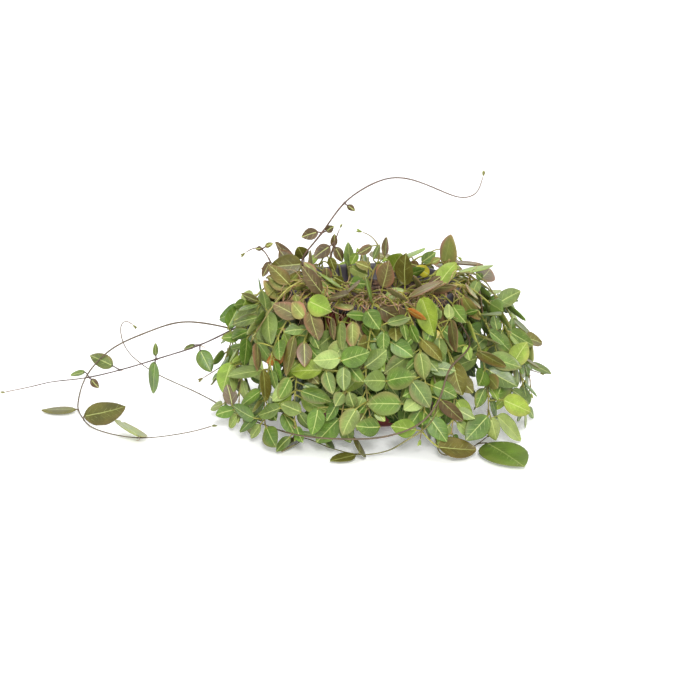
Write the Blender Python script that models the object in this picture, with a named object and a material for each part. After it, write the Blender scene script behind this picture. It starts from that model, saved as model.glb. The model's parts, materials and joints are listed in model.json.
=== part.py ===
"""A trailing dischidia in a plastic nursery pot, standing on a flat surface.

The pot, the planting medium and each leafy stem are one closed solid each. The stems
stand in holes of the medium, leave the pot over its rim and hang to the surface, where
the longest run on along it. Places read in the photograph fix the stems and leaves that
can be made out there. The rest follow a rule with seeded draws.
"""

import bisect
import math
import random
from collections import namedtuple

import bpy
import numpy as np
from mathutils import Matrix, Vector
from mathutils.bvhtree import BVHTree
from mathutils.kdtree import KDTree

MM = 0.001

# The pot: a thin moulded nursery pot.
POT_HEIGHT = 115 * MM
RIM_RADIUS = 75 * MM
BASE_RADIUS = 52 * MM
WALL = 1.5 * MM
RIM_ROLL = 3 * MM
RIM_DEPTH = 8 * MM

# The planting medium and the holes that the clumps of stems stand in.
MEDIUM_TOP = 103 * MM
MEDIUM_GAP = 0.3 * MM
HOLE_RADIUS = 5.4 * MM
HOLE_DEPTH = 14 * MM
CLUMP_RINGS = [(49 * MM, 11), (24 * MM, 5)]
STEMS_IN_CLUMP = 4
STEM_SPREAD = 3.0 * MM

# Stems and leaves.
STEM_RADIUS = 1.25 * MM
STEM_TIP_RADIUS = 0.65 * MM
NODE_HALF = 1.5 * MM
LEAF_SHAPE = 0.64
LEAF_THICK = 1.7 * MM
LONGEST_LEAF = 41 * MM
LONGEST_TWIG = 22 * MM
CLEARANCE = 0.4 * MM

# The outer skin of the foliage: its radius at each height.
SKIN_HEIGHTS = [h * MM for h in (0, 30, 60, 90, 115, 135, 155, 165)]
SKIN_RADII = [r * MM for r in (148, 146, 138, 126, 106, 85, 45, 0)]

# The photograph's view, which the hand-read places below are measured in.
VIEW_RISE = math.radians(16.5)
VIEW_DISTANCE = 1.8
VIEW_CENTRE = Vector((-0.022, 0.0, 0.0544))
PIXEL = 0.88 * MM
HALF_FRAME = 350
VIEW_AHEAD = Vector((0, math.cos(VIEW_RISE), -math.sin(VIEW_RISE)))
VIEW_UP = Vector((0, math.sin(VIEW_RISE), math.cos(VIEW_RISE)))
VIEW_RIGHT = Vector((1, 0, 0))
EYE = VIEW_CENTRE - VIEW_DISTANCE * VIEW_AHEAD

Seen = namedtuple("Seen", "across down where amount")
SeenLeaf = namedtuple("SeenLeaf", "base tip wide tone where amount")
Leaf = namedtuple("Leaf", "root base along normal length width tone droop")


def plane(across, down, back):
    """A place seen at this pixel, lying so many millimetres behind the pot's axis."""
    return Seen(across, down, "plane", back)


def skin(across, down, out=0):
    """A place seen at this pixel, on the foliage's skin or so many millimetres outside it."""
    return Seen(across, down, "skin", out)


def ground(across, down, up=3):
    """A place seen at this pixel, so many millimetres above the surface that the pot stands on."""
    return Seen(across, down, "ground", up)


def leaf(base, tip, wide, tone, out=0, back=None, up=None):
    """A leaf seen from its base pixel to its tip pixel and this many pixels wide."""
    if back is not None:
        return SeenLeaf(base, tip, wide, tone, "plane", back)
    if up is not None:
        return SeenLeaf(base, tip, wide, tone, "ground", up)
    return SeenLeaf(base, tip, wide, tone, "skin", out)


# Leaves of the front of the curtain, read from left to right.
CURTAIN_LEAVES = [
    leaf((228, 327), (240, 304), 16, "green"),
    leaf((234, 320), (257, 310), 13, "grey", out=2),
    leaf((249, 331), (232, 340), 12, "green"),
    leaf((246, 345), (231, 350), 6, "grey"),
    leaf((247, 338), (245, 366), 11, "green"),
    leaf((257, 343), (259, 371), 6, "mauve"),
    leaf((231, 363), (222, 393), 20, "lime", out=2),
    leaf((234, 366), (235, 392), 7, "pale", out=5),
    leaf((232, 405), (228, 389), 14, "bronze", out=4),
    leaf((254, 418), (232, 406), 12, "green", out=2),
    leaf((263, 370), (266, 402), 9, "olive"),
    leaf((266, 309), (263, 290), 10, "grey", out=-6),
    leaf((268, 312), (270, 344), 15, "grey", out=2),
    leaf((285, 355), (265, 362), 14, "orange"),
    leaf((298, 317), (273, 303), 18, "mauve", out=-5),
    leaf((304, 317), (291, 302), 15, "pink", out=2),
    leaf((309, 301), (334, 313), 22, "lime", out=4),
    leaf((310, 312), (319, 340), 17, "mauve", out=4),
    leaf((294, 336), (285, 376), 8, "olive", out=3),
    leaf((304, 342), (305, 367), 15, "mauve"),
    leaf((323, 370), (290, 371), 18, "lime", out=5),
    leaf((290, 378), (278, 399), 13, "green"),
    leaf((301, 412), (280, 403), 15, "grey"),
    leaf((280, 408), (258, 415), 13, "grey"),
    leaf((283, 413), (295, 435), 14, "green", out=-4),
    leaf((318, 408), (312, 435), 17, "green"),
    leaf((301, 391), (331, 401), 14, "green", out=3),
    leaf((337, 403), (326, 421), 10, "green"),
    leaf((326, 371), (333, 394), 13, "grey", out=2),
    leaf((331, 318), (333, 340), 5, "mauve", out=-6),
    leaf((340, 322), (341, 350), 8, "grey"),
    leaf((353, 322), (353, 348), 14, "pink", out=2),
    leaf((340, 358), (317, 360), 18, "pale", out=6),
    leaf((341, 361), (369, 352), 21, "green", out=5),
    leaf((344, 367), (344, 391), 14, "grey"),
    leaf((354, 407), (349, 392), 12, "grey", out=-4),
    leaf((356, 409), (342, 436), 18, "grey", out=4),
    leaf((380, 427), (357, 426), 18, "green"),
    leaf((365, 367), (385, 351), 19, "grey", out=3),
    leaf((367, 311), (381, 331), 18, "green"),
    leaf((362, 324), (374, 337), 9, "green", out=-7),
    leaf((384, 331), (384, 352), 13, "green"),
    leaf((386, 381), (365, 381), 20, "grey", out=4),
    leaf((387, 381), (413, 377), 22, "green", out=5),
    leaf((401, 404), (366, 404), 23, "green", out=6),
    leaf((389, 319), (398, 303), 12, "green", out=-4),
    leaf((387, 323), (411, 316), 8, "grey", out=3),
    leaf((395, 327), (396, 343), 14, "olive", out=-3),
    leaf((403, 322), (407, 340), 7, "green"),
    leaf((410, 325), (418, 343), 9, "green"),
    leaf((391, 342), (413, 357), 17, "green", out=3),
    leaf((412, 381), (430, 408), 19, "grey", out=2),
    leaf((416, 430), (390, 426), 18, "lime", out=2),
    leaf((407, 309), (426, 321), 5, "orange", out=4),
    leaf((422, 298), (433, 336), 20, "lime", out=5),
    leaf((443, 344), (425, 330), 14, "yellow", out=-2),
    leaf((420, 352), (424, 380), 16, "grey"),
    leaf((439, 338), (440, 364), 14, "grey", out=-3),
    leaf((435, 396), (435, 366), 21, "olive", out=6),
    leaf((440, 401), (447, 439), 18, "olive", out=7),
    leaf((441, 400), (463, 422), 12, "bronze"),
    leaf((438, 447), (477, 449), 19, "olive"),
    leaf((424, 431), (435, 456), 15, "lime", out=6),
    leaf((449, 319), (449, 303), 10, "pale"),
    leaf((453, 306), (466, 323), 15, "green", out=-7),
    leaf((451, 320), (455, 352), 7, "mauve", out=3),
    leaf((466, 341), (464, 320), 7, "green"),
    leaf((466, 345), (470, 361), 10, "lime"),
    leaf((453, 361), (473, 390), 20, "olive", out=4),
    leaf((463, 297), (480, 320), 11, "pink"),
    leaf((478, 360), (505, 378), 18, "green", out=-3),
    leaf((478, 351), (506, 368), 9, "olive", out=6),
    leaf((478, 390), (500, 370), 22, "grey", out=5),
    leaf((488, 416), (466, 440), 22, "green", out=4),
    leaf((491, 418), (497, 441), 14, "pale", out=5),
    leaf((497, 416), (522, 441), 13, "pale"),
    leaf((497, 398), (508, 369), 20, "green", out=-3),
    leaf((489, 331), (505, 344), 9, "green"),
    leaf((497, 330), (494, 315), 10, "grey", out=-3),
    leaf((513, 365), (526, 344), 20, "lime"),
    leaf((503, 400), (531, 412), 20, "lime"),
]

# Vines followed by hand: each has its route from the pot outward, then its own leaves.
SEEN_VINES = {
    "tendril_high": (
        [
            plane(312, 275, -14),
            plane(300, 264, -10),
            plane(322, 233, -8),
            plane(344, 203, -6),
            plane(366, 187, -4),
            plane(388, 178, -2),
            plane(406, 178, 0),
            plane(425, 184, 2),
            plane(446, 193, 2),
            plane(459, 198, 0),
            plane(470, 198, -2),
            plane(478, 193, -4),
            plane(483, 176, -6),
        ],
        [
            leaf((302, 264), (270, 267), 22, "olive", back=-16),
            leaf((304, 259), (298, 247), 15, "olive", back=2),
            leaf((318, 232), (302, 237), 12, "bronze", back=-8),
            leaf((326, 231), (334, 226), 8, "bronze", back=-8),
            leaf((346, 205), (354, 211), 6, "bronze", back=-6),
        ],
    ),
    "shoot_left": (
        [
            plane(281, 276, 6),
            plane(271, 263, 4),
            plane(263, 248, 2),
            plane(254, 246, 0),
            plane(245, 253, -2),
        ],
        [
            leaf((270, 262), (262, 277), 7, "bronze", back=0),
            leaf((262, 248), (256, 249), 4, "bronze", back=2),
            leaf((265, 247), (273, 243), 5, "olive", back=2),
        ],
    ),
    "shoot_brown": (
        [
            plane(331, 268, 10),
            plane(331, 256, 12),
            plane(333, 246, 12),
            plane(340, 228, 12),
        ],
        [
            leaf((330, 246), (315, 257), 14, "bronze", back=6),
            leaf((334, 247), (335, 234), 7, "bronze", back=14),
            leaf((335, 247), (343, 262), 10, "bronze", back=8),
            leaf((330, 257), (335, 271), 9, "olive", back=4),
        ],
    ),
    "arch_middle": (
        [
            plane(378, 264, 24),
            plane(380, 249, 24),
            plane(375, 239, 24),
            plane(368, 233, 24),
            plane(362, 232, 24),
        ],
        [
            leaf((372, 246), (357, 254), 9, "mauve", back=28),
            leaf((373, 259), (379, 244), 6, "grey", back=16),
            leaf((385, 256), (386, 237), 6, "mauve", back=22),
        ],
    ),
    "arch_right": (
        [
            plane(424, 276, 14),
            plane(421, 262, 22),
            plane(433, 249, 24),
            plane(439, 247, 24),
            plane(449, 251, 24),
            plane(458, 257, 24),
        ],
        [
            leaf((422, 262), (436, 252), 12, "grey", back=18),
            leaf((431, 263), (441, 258), 8, "pink", back=16),
            leaf((429, 275), (416, 266), 12, "yellow", back=4),
            leaf((419, 266), (408, 263), 9, "bronze", back=19),
        ],
    ),
    "right_vine": (
        [
            plane(457, 273, -16),
            plane(479, 275, -16),
            plane(487, 283, -16),
            plane(496, 298, -18),
            plane(503, 314, -20),
            plane(504, 330, -22),
            plane(510, 344, -26),
        ],
        [
            leaf((482, 279), (476, 273), 8, "green", back=-18),
            leaf((478, 280), (471, 297), 11, "pale", back=-18),
            leaf((501, 316), (491, 301), 8, "green", back=-22),
            leaf((502, 314), (500, 297), 9, "grey", back=-16),
            leaf((510, 341), (513, 317), 7, "green", back=-24),
            leaf((511, 345), (519, 337), 7, "lime", back=-30),
        ],
    ),
    "right_stub": (
        [
            plane(492, 335, -2),
            plane(508, 355, -2),
            plane(520, 366, -2),
            plane(540, 373, -2),
        ],
        [],
    ),
    "runner_loop": (
        [
            plane(248, 333, -16),
            plane(236, 330, -14),
            plane(210, 324, -6),
            plane(180, 322, 4),
            plane(145, 333, 12),
            plane(110, 350, 18),
            plane(85, 378, 22),
            ground(78, 402, 4),
            ground(82, 417, 3),
            ground(95, 429, 3),
            ground(139, 438, 3),
            ground(190, 432, 3),
            ground(212, 426, 3),
        ],
        [
            leaf((76, 409), (41, 408), 5, "olive", up=3),
            leaf((84, 416), (126, 412), 24, "olive", up=7),
            leaf((138, 436), (123, 420), 4, "pale", up=6),
        ],
    ),
    "runner_left": (
        [
            plane(252, 318, 2),
            plane(235, 328, 3),
            plane(200, 345, 10),
            plane(160, 358, 20),
            plane(120, 370, 30),
            plane(85, 378, 40),
            plane(50, 382, 46),
            ground(34, 386, 4),
            ground(5, 392, 3),
        ],
        [
            leaf((200, 350), (210, 370), 17, "green", back=4),
            leaf((195, 345), (184, 350), 5, "grey", back=16),
            leaf((155, 357), (155, 344), 5, "grey", back=22),
            leaf((155, 362), (152, 394), 9, "green", back=14),
            leaf((113, 366), (90, 355), 15, "grey", back=26),
            leaf((91, 379), (99, 388), 8, "bronze", back=36),
            leaf((85, 372), (70, 375), 4, "grey", back=44),
        ],
    ),
    "runner_hook": (
        [
            skin(470, 340, -8),
            skin(466, 352, 2),
            skin(449, 369, 8),
            skin(439, 401, 11),
            skin(420, 424, 11),
            skin(384, 437, 8),
            skin(338, 439, 8),
            skin(303, 436, 10),
            ground(257, 422, 8),
            ground(237, 414, 8),
            plane(200, 394, 5),
            plane(150, 370, 36),
            plane(128, 352, 36),
            plane(121, 337, 34),
            plane(121, 320, 34),
            plane(127, 318, 34),
            plane(133, 325, 34),
        ],
        [],
    ),
    "runner_front": (
        [
            skin(438, 398, -12),
            skin(430, 424, 2),
            skin(407, 440, 14),
            ground(384, 452, 4),
            ground(361, 455, 3),
            ground(328, 447, 3),
            ground(306, 438, 3),
            ground(297, 437, 3),
        ],
        [
            leaf((355, 455), (330, 460), 5, "olive", up=4),
            leaf((360, 452), (360, 440), 8, "olive", up=5),
            leaf((297, 438), (281, 450), 4, "olive", up=4),
            leaf((391, 450), (399, 469), 9, "lime", up=4),
            leaf((322, 443), (331, 454), 8, "green", up=3),
            leaf((326, 443), (326, 429), 13, "grey", up=6),
            leaf((415, 448), (438, 468), 11, "grey", up=6),
        ],
    ),
    "stem_lower_right": (
        [
            skin(436, 440, -10),
            skin(440, 455, 4),
            ground(462, 452, 4),
            ground(482, 441, 4),
            ground(487, 437, 5),
        ],
        [
            leaf((487, 443), (524, 464), 21, "green", up=7),
        ],
    ),
    "stem_yellow": (
        [
            plane(325, 276, -36),
            plane(304, 280, -42),
            plane(287, 289, -50),
            skin(269, 312, 5),
            skin(256, 333, 5),
        ],
        [],
    ),
    "stub_left": (
        [
            plane(252, 340, 4),
            plane(240, 353, 4),
            plane(222, 366, 4),
            plane(203, 378, 4),
        ],
        [],
    ),
    "sprig_pink": (
        [
            plane(296, 284, -30),
            plane(289, 288, -32),
            plane(280, 297, -34),
        ],
        [
            leaf((289, 287), (267, 276), 15, "pink", back=-30),
            leaf((279, 298), (264, 280), 13, "pink", back=-24),
            leaf((287, 285), (300, 271), 10, "pink", back=-26),
        ],
    ),
    "sprig_lime": (
        [
            plane(340, 286, -50),
            plane(334, 287, -50),
            plane(326, 283, -44),
            plane(316, 275, -38),
        ],
        [
            leaf((334, 287), (317, 290), 14, "pale", back=-56),
            leaf((325, 285), (325, 272), 11, "mauve", back=-42),
            leaf((317, 276), (307, 291), 12, "lime", back=-44),
            leaf((316, 274), (304, 262), 9, "pink", back=-32),
        ],
    ),
    "sprig_grey": (
        [
            plane(351, 272, 2),
            plane(350, 264, 4),
            plane(356, 253, 8),
        ],
        [
            leaf((350, 266), (349, 242), 9, "grey", back=12),
            leaf((350, 267), (368, 276), 12, "pale", back=-10),
            leaf((357, 253), (351, 265), 9, "lime", back=4),
        ],
    ),
    "sprig_large": (
        [
            plane(393, 282, 10),
            plane(391, 272, 12),
            plane(398, 270, 20),
        ],
        [
            leaf((391, 272), (402, 253), 20, "lime", back=24),
            leaf((399, 277), (401, 261), 10, "bronze", back=2),
        ],
    ),
    "sprig_pink_edge": (
        [
            plane(372, 276, -20),
            plane(376, 266, -24),
            plane(382, 262, -24),
        ],
        [
            leaf((382, 263), (386, 288), 15, "pink", back=-32),
            leaf((370, 268), (355, 262), 9, "olive", back=-20),
        ],
    ),
    "sprig_green": (
        [
            plane(386, 284, -18),
            plane(393, 280, -22),
            plane(399, 275, -30),
        ],
        [
            leaf((394, 280), (424, 271), 11, "green", back=-24),
            leaf((399, 275), (404, 262), 8, "olive", back=-34),
        ],
    ),
    "sprig_right": (
        [
            plane(446, 283, -12),
            plane(450, 278, -10),
            plane(456, 270, -4),
        ],
        [
            leaf((450, 278), (449, 258), 15, "pink", back=-6),
            leaf((455, 271), (442, 262), 8, "olive", back=6),
        ],
    ),
    "sprig_mauve": (
        [
            plane(414, 286, -44),
            plane(423, 288, -50),
            plane(430, 284, -50),
        ],
        [
            leaf((424, 289), (457, 287), 8, "mauve", back=-54),
            leaf((429, 284), (441, 276), 7, "bronze", back=-46),
        ],
    ),
    "sprig_pale": (
        [
            plane(378, 292, -54),
            plane(385, 296, -60),
        ],
        [
            leaf((386, 296), (405, 290), 12, "pale", back=-64),
        ],
    ),
    "sprig_small": (
        [
            plane(342, 284, -26),
            plane(348, 283, -32),
        ],
        [
            leaf((349, 283), (366, 284), 14, "green", back=-36),
            leaf((344, 284), (335, 279), 8, "olive", back=-30),
        ],
    ),
}

# Hanging vines made by rule: number, first angle, arc and inset from the skin.
HANGING_ROWS = [
    ("front", 13, 184, 172, 9 * MM),
    ("back", 8, 10, 158, 24 * MM),
    ("inner", 12, 5, 330, 46 * MM),
]
FIRST_NODE = 64 * MM
NODE_SPACING = (19 * MM, 25 * MM)


def sight(across, down):
    """Direction of the line of sight through one pixel."""
    focal = VIEW_DISTANCE / PIXEL
    side = (across - HALF_FRAME) / focal
    rise = (HALF_FRAME - down) / focal
    return VIEW_AHEAD + side * VIEW_RIGHT + rise * VIEW_UP


def skin_radius(height):
    return float(np.interp(height, SKIN_HEIGHTS, SKIN_RADII))


def placed(seen):
    """The point in space of one seen place."""
    line = sight(seen.across, seen.down)
    if seen.where == "plane":
        return EYE + line * ((seen.amount * MM - EYE.y) / line.y)
    floor_reach = (seen.amount * MM - EYE.z) / line.z
    if seen.where == "ground":
        return EYE + line * floor_reach
    floor_reach = (4 * MM - EYE.z) / line.z
    best_gap, best_point = 1.0, None
    for step in range(420):
        reach = VIEW_DISTANCE - 0.22 + step * MM
        if reach >= floor_reach:
            break
        point = EYE + line * reach
        gap = math.hypot(point.x, point.y) - skin_radius(point.z) - seen.amount * MM
        if gap < best_gap:
            best_gap, best_point = gap, point
        if gap <= 0:
            break
    if best_gap > 25 * MM:
        return EYE + line * floor_reach
    return best_point


def lying_leaf(seen, draw):
    """A seen leaf in space: base, direction, normal and size that give its outline in the view."""
    base = placed(Seen(*seen.base, seen.where, seen.amount))
    tip = placed(Seen(*seen.tip, seen.where, seen.amount))
    toward_eye = (EYE - base).normalized()
    if seen.where == "skin":
        reach = (tip - base)
        most = 14 * MM
        depth = max(-most, min(most, reach.dot(toward_eye)))
        tip = base + reach - toward_eye * (reach.dot(toward_eye) - depth)
    wide = max(seen.wide, 5) * PIXEL
    length = max((tip - base).length, min(wide / 0.68, LONGEST_LEAF))
    hidden = math.sqrt(max(0.0, length ** 2 - (tip - base).length_squared))
    tip = tip + toward_eye * hidden * (1 if tip.z > 12 * MM else 0.2)
    along = (tip - base).normalized()
    normal = (toward_eye - along * toward_eye.dot(along)).normalized()
    width = max(LEAF_SHAPE * length, wide)
    roll = math.acos(min(1.0, wide / width)) * draw.choice((-0.9, 0.9))
    if seen.where == "ground" and seen.amount > 3:
        roll = roll * 0.9
    normal = Matrix.Rotation(roll, 3, along) @ normal
    return Leaf(None, base, along, normal, length, width, seen.tone, 0.04)


def leaf_outline(share):
    """Half width of a blade, as a share of its greatest half width, from base to tip."""
    return 2.72 * share ** 0.62 * (1 - share) ** 0.85


def blade_point(leaf_, share, side, below=0.0):
    """A point of a blade: share of its length, side from -1 to 1 and depth below its upper face."""
    across = leaf_.along.cross(leaf_.normal)
    half = 0.5 * leaf_.width * leaf_outline(share)
    sag = leaf_.droop * leaf_.length * share ** 2
    point = leaf_.base + leaf_.along * leaf_.length * share
    return point + across * half * side - leaf_.normal * (sag + below)


POT_SIDES = 40
MEDIUM_SIDES = 20


def wall_radius(height):
    """Outer radius of the pot's plain wall at a height."""
    top = RIM_RADIUS - RIM_ROLL - 0.7 * MM
    return BASE_RADIUS + (top - BASE_RADIUS) * height / (POT_HEIGHT - RIM_DEPTH)


def pot_profile():
    """Half section of the pot, from the middle of its base round to the middle of its floor."""
    under_rim = POT_HEIGHT - RIM_DEPTH
    mouth = wall_radius(POT_HEIGHT - 1.5 * MM) - WALL
    return [
        (0, 0),
        (BASE_RADIUS - 2 * MM, 0),
        (BASE_RADIUS, 2 * MM),
        (wall_radius(under_rim), under_rim),
        (RIM_RADIUS - 0.7 * MM, under_rim - 0.3 * MM),
        (RIM_RADIUS, under_rim + 0.6 * MM),
        (RIM_RADIUS, POT_HEIGHT - 1.6 * MM),
        (RIM_RADIUS - 1.4 * MM, POT_HEIGHT),
        (mouth + 1.0 * MM, POT_HEIGHT),
        (mouth, POT_HEIGHT - 1.5 * MM),
        (wall_radius(2 * MM) - WALL, 2 * MM),
        (0, 1.8 * MM),
    ]


def turned(profile, sides):
    """Points and faces of a profile turned about the upright axis; it starts and ends on it."""
    points = [Vector((0, 0, profile[0][1]))]
    for radius, height in profile[1:-1]:
        for index in range(sides):
            turn = 2 * math.pi * index / sides
            points.append(Vector((radius * math.cos(turn), radius * math.sin(turn), height)))
    points.append(Vector((0, 0, profile[-1][1])))
    last = len(points) - 1
    faces = []
    for index in range(sides):
        other = (index + 1) % sides
        faces.append((0, 1 + other, 1 + index))
        for level in range(len(profile) - 3):
            low = 1 + level * sides
            high = low + sides
            faces.append((low + index, low + other, high + other, high + index))
        low = 1 + (len(profile) - 3) * sides
        faces.append((low + index, low + other, last))
    return points, faces


def pot_test_shapes():
    """The pot and a disc just above the medium, as shapes that leaves keep clear of."""
    height = MEDIUM_TOP + 2.5 * MM
    edge = wall_radius(height) - WALL - 1 * MM
    disc = [(0, height - 1 * MM), (edge, height - 1 * MM), (edge, height), (0, height)]
    return [turned(pot_profile(), POT_SIDES), turned(disc, MEDIUM_SIDES)]


def clump_places():
    """Centres of the holes that the stems stand in."""
    places = []
    for ring, (radius, count) in enumerate(CLUMP_RINGS):
        for index in range(count):
            turn = 2 * math.pi * (index + 0.5 * ring) / count
            places.append(Vector((radius * math.cos(turn), radius * math.sin(turn), 0)))
    return places


class Clumps:
    """Gives each stem a free place in the hole nearest to where it leaves the pot."""

    def __init__(self):
        self.centres = clump_places()
        self.taken = [0] * len(self.centres)

    def root(self, toward):
        def cost(index):
            centre = self.centres[index]
            full = 1.0 if self.taken[index] >= STEMS_IN_CLUMP else 0.0
            crowd = 4 * MM * self.taken[index]
            return (centre - Vector((toward.x, toward.y, 0))).length + crowd + full

        index = min(range(len(self.centres)), key=cost)
        centre = self.centres[index]
        turn = math.atan2(centre.y, centre.x) + math.pi / 4
        turn += self.taken[index] * 2 * math.pi / STEMS_IN_CLUMP
        self.taken[index] += 1
        return centre + STEM_SPREAD * Vector((math.cos(turn), math.sin(turn), 0))


def root_stretch(root):
    """The upright part of a stem, from inside its hole to just above the medium."""
    heights = (MEDIUM_TOP - HOLE_DEPTH + MEDIUM_GAP, MEDIUM_TOP - 3 * MM, MEDIUM_TOP + 4 * MM)
    return [Vector((root.x, root.y, height)) for height in heights]


def over_rim(first):
    """A point above the rim, on the way to the first place outside the pot."""
    turn = math.atan2(first.y, first.x)
    reach = RIM_RADIUS + 1 * MM
    return Vector((reach * math.cos(turn), reach * math.sin(turn), POT_HEIGHT + 6 * MM))


def seen_route(places, clumps):
    """A whole hand-read route, with the stretch from its hole up and over the rim."""
    points = [placed(place) for place in places]
    first = points[0]
    outside = math.hypot(first.x, first.y) > RIM_RADIUS
    edge = over_rim(first)
    root = clumps.root(edge if outside else first)
    route = root_stretch(root)
    if outside:
        route.append(edge)
        if first.z < 70 * MM:
            turn = math.atan2(first.y, first.x)
            reach = min(0.55 * RIM_RADIUS + 0.5 * first.xy.length, first.xy.length - 8 * MM)
            half = Vector((reach * math.cos(turn), reach * math.sin(turn), 0))
            half.z = 0.5 * (first.z + POT_HEIGHT)
            route.append(half)
    return route + points


def hanging_route(turn, inset, end, clumps, draw):
    """A vine that leaves the pot over its rim and hangs down inside the foliage's skin."""
    out = Vector((math.cos(turn), math.sin(turn), 0))
    edge = (RIM_RADIUS + 2 * MM) * out
    root = clumps.root(edge)
    route = root_stretch(root)
    route.append(edge + Vector((0, 0, POT_HEIGHT + (5 + draw.uniform(0, 6)) * MM)))
    swing = draw.uniform(-6, 6) * MM
    side = Vector((-out.y, out.x, 0))
    height = POT_HEIGHT - 8 * MM
    while height > end:
        reach = max(skin_radius(height) - inset, RIM_RADIUS + 9 * MM)
        sway = swing * math.sin((POT_HEIGHT - height) / (28 * MM))
        route.append(reach * out + sway * side + Vector((0, 0, height)))
        height -= 18 * MM
    return route


def curve_point(four, knots, t):
    """One point of the curve between the two middle ones of four points."""
    level = list(four)
    for order in (1, 2, 3):
        for index in range(4 - order):
            low, high = knots[index], knots[index + order]
            if order == 2:
                low, high = knots[index], knots[index + 2]
            if order == 3:
                low, high = knots[1], knots[2]
            share = (t - low) / (high - low)
            level[index] = level[index].lerp(level[index + 1], share)
    return level[0]


def smooth(points, step=4 * MM):
    """Points a few millimetres apart along a curve through the given points."""
    ends = [2 * points[0] - points[1]] + list(points) + [2 * points[-1] - points[-2]]
    dense = [points[0].copy()]
    for four in zip(ends, ends[1:], ends[2:], ends[3:]):
        knots = [0.0]
        for start, stop in zip(four, four[1:]):
            knots.append(knots[-1] + max((stop - start).length, 1e-5) ** 0.5)
        count = max(1, round((four[2] - four[1]).length / step))
        for index in range(1, count + 1):
            t = knots[1] + (knots[2] - knots[1]) * index / count
            dense.append(curve_point(four, knots, t))
    return dense


def pot_clear(point):
    """Moves one stem point clear of the pot, the medium and the surface below."""
    reach = math.hypot(point[0], point[1])
    top = POT_HEIGHT + 4 * MM
    inner, outer = RIM_RADIUS - 8 * MM, RIM_RADIUS + 7 * MM
    if point[2] < top and reach < outer:
        if reach > inner:
            if reach > RIM_RADIUS and point[2] < POT_HEIGHT - 6 * MM:
                point[:2] *= outer / reach
            else:
                point[2] = top
        elif point[2] < MEDIUM_TOP + 4 * MM:
            point[2] = MEDIUM_TOP + 4 * MM
    point[2] = max(point[2], 2.4 * MM)


def spread_routes(routes):
    """Pushes the stems apart until each stands clear of the others and of the pot."""
    dense = [np.array([list(point) for point in route]) for route in routes]
    owner = np.concatenate([np.full(len(route), i) for i, route in enumerate(dense)])
    rank = np.concatenate([np.arange(len(route)) for route in dense])
    points = np.concatenate(dense)
    home = points.copy()
    free = rank > 4
    ends = np.concatenate([rank[1:] == 0, [True]])
    middle = free & ~ends
    for turn in range(90):
        if turn < 60:
            mean = 0.5 * (np.roll(points, 1, 0) + np.roll(points, -1, 0))
            points[middle] += 0.25 * (mean - points)[middle]
            points[free] += 0.12 * (home - points)[free]
        tree = KDTree(len(points))
        for index, point in enumerate(points):
            tree.insert(point, index)
        tree.balance()
        push = np.zeros_like(points)
        for index in np.flatnonzero(free):
            for near, other, gap in tree.find_range(points[index], STEM_GAP):
                if owner[other] == owner[index]:
                    continue
                away = points[index] - points[other]
                away = away / max(gap, 1e-6)
                push[index] += away * (STEM_GAP - gap) * (0.6 if free[other] else 1.1)
        points += push
        for index in np.flatnonzero(free):
            pot_clear(points[index])
    for turn in range(40):
        if not part_crossings(points, owner, free):
            break
        for index in np.flatnonzero(free):
            pot_clear(points[index])
    return [[Vector(p) for p in points[owner == i]] for i in range(len(routes))]


STEM_GAP = 5.2 * MM
CROSSING_GAP = 4.6 * MM


def nearest_shares(first, second):
    """How far along two straight stretches their nearest points lie."""
    u, v, w = first[1] - first[0], second[1] - second[0], first[0] - second[0]
    a, b, c, d, e = u @ u, u @ v, v @ v, u @ w, v @ w
    spread = max(a * c - b * b, 1e-14)
    s = min(max((b * e - c * d) / spread, 0.0), 1.0)
    t = min(max((b * s + e) / max(c, 1e-12), 0.0), 1.0)
    s = min(max((b * t - d) / max(a, 1e-12), 0.0), 1.0)
    return s, t


def part_crossings(points, owner, free):
    """Moves stretches of different stems apart where they come too near; counts them."""
    linked = np.flatnonzero(owner[1:] == owner[:-1])
    middles = 0.5 * (points[linked] + points[linked + 1])
    tree = KDTree(len(linked))
    for index, middle in enumerate(middles):
        tree.insert(middle, index)
    tree.balance()
    found = 0
    for index, low in enumerate(linked):
        for near, other, gap in tree.find_range(middles[index], CROSSING_GAP + 4 * MM):
            high = linked[other]
            if other <= index or owner[high] == owner[low]:
                continue
            first, second = points[[low, low + 1]], points[[high, high + 1]]
            s, t = nearest_shares(first, second)
            away = first[0] + s * (first[1] - first[0]) - second[0] - t * (second[1] - second[0])
            gap = float(np.linalg.norm(away))
            if gap >= CROSSING_GAP or not (free[low] or free[high]):
                continue
            found += 1
            if gap < 0.3 * MM:
                away = np.cross(first[1] - first[0], second[1] - second[0])
            away = away / max(np.linalg.norm(away), 1e-9) * 0.55 * (CROSSING_GAP - gap)
            for at, sign in ((low, 1), (low + 1, 1), (high, -1), (high + 1, -1)):
                if free[at]:
                    points[at] += sign * away
    return found


def lengths_along(route):
    """Distance along the route to each of its points."""
    run = [0.0]
    for start, stop in zip(route, route[1:]):
        run.append(run[-1] + (stop - start).length)
    return run


def point_at(route, run, distance):
    """The point of the route at this distance along it."""
    index = min(max(bisect.bisect_right(run, distance) - 1, 0), len(route) - 2)
    share = (distance - run[index]) / max(run[index + 1] - run[index], 1e-9)
    return route[index].lerp(route[index + 1], min(max(share, 0.0), 1.0))


def nearest_on(route, run, point):
    """Distance along the route of its point nearest to the given one, and the gap."""
    index = min(range(len(route)), key=lambda i: (route[i] - point).length_squared)
    return run[index], (route[index] - point).length


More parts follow.
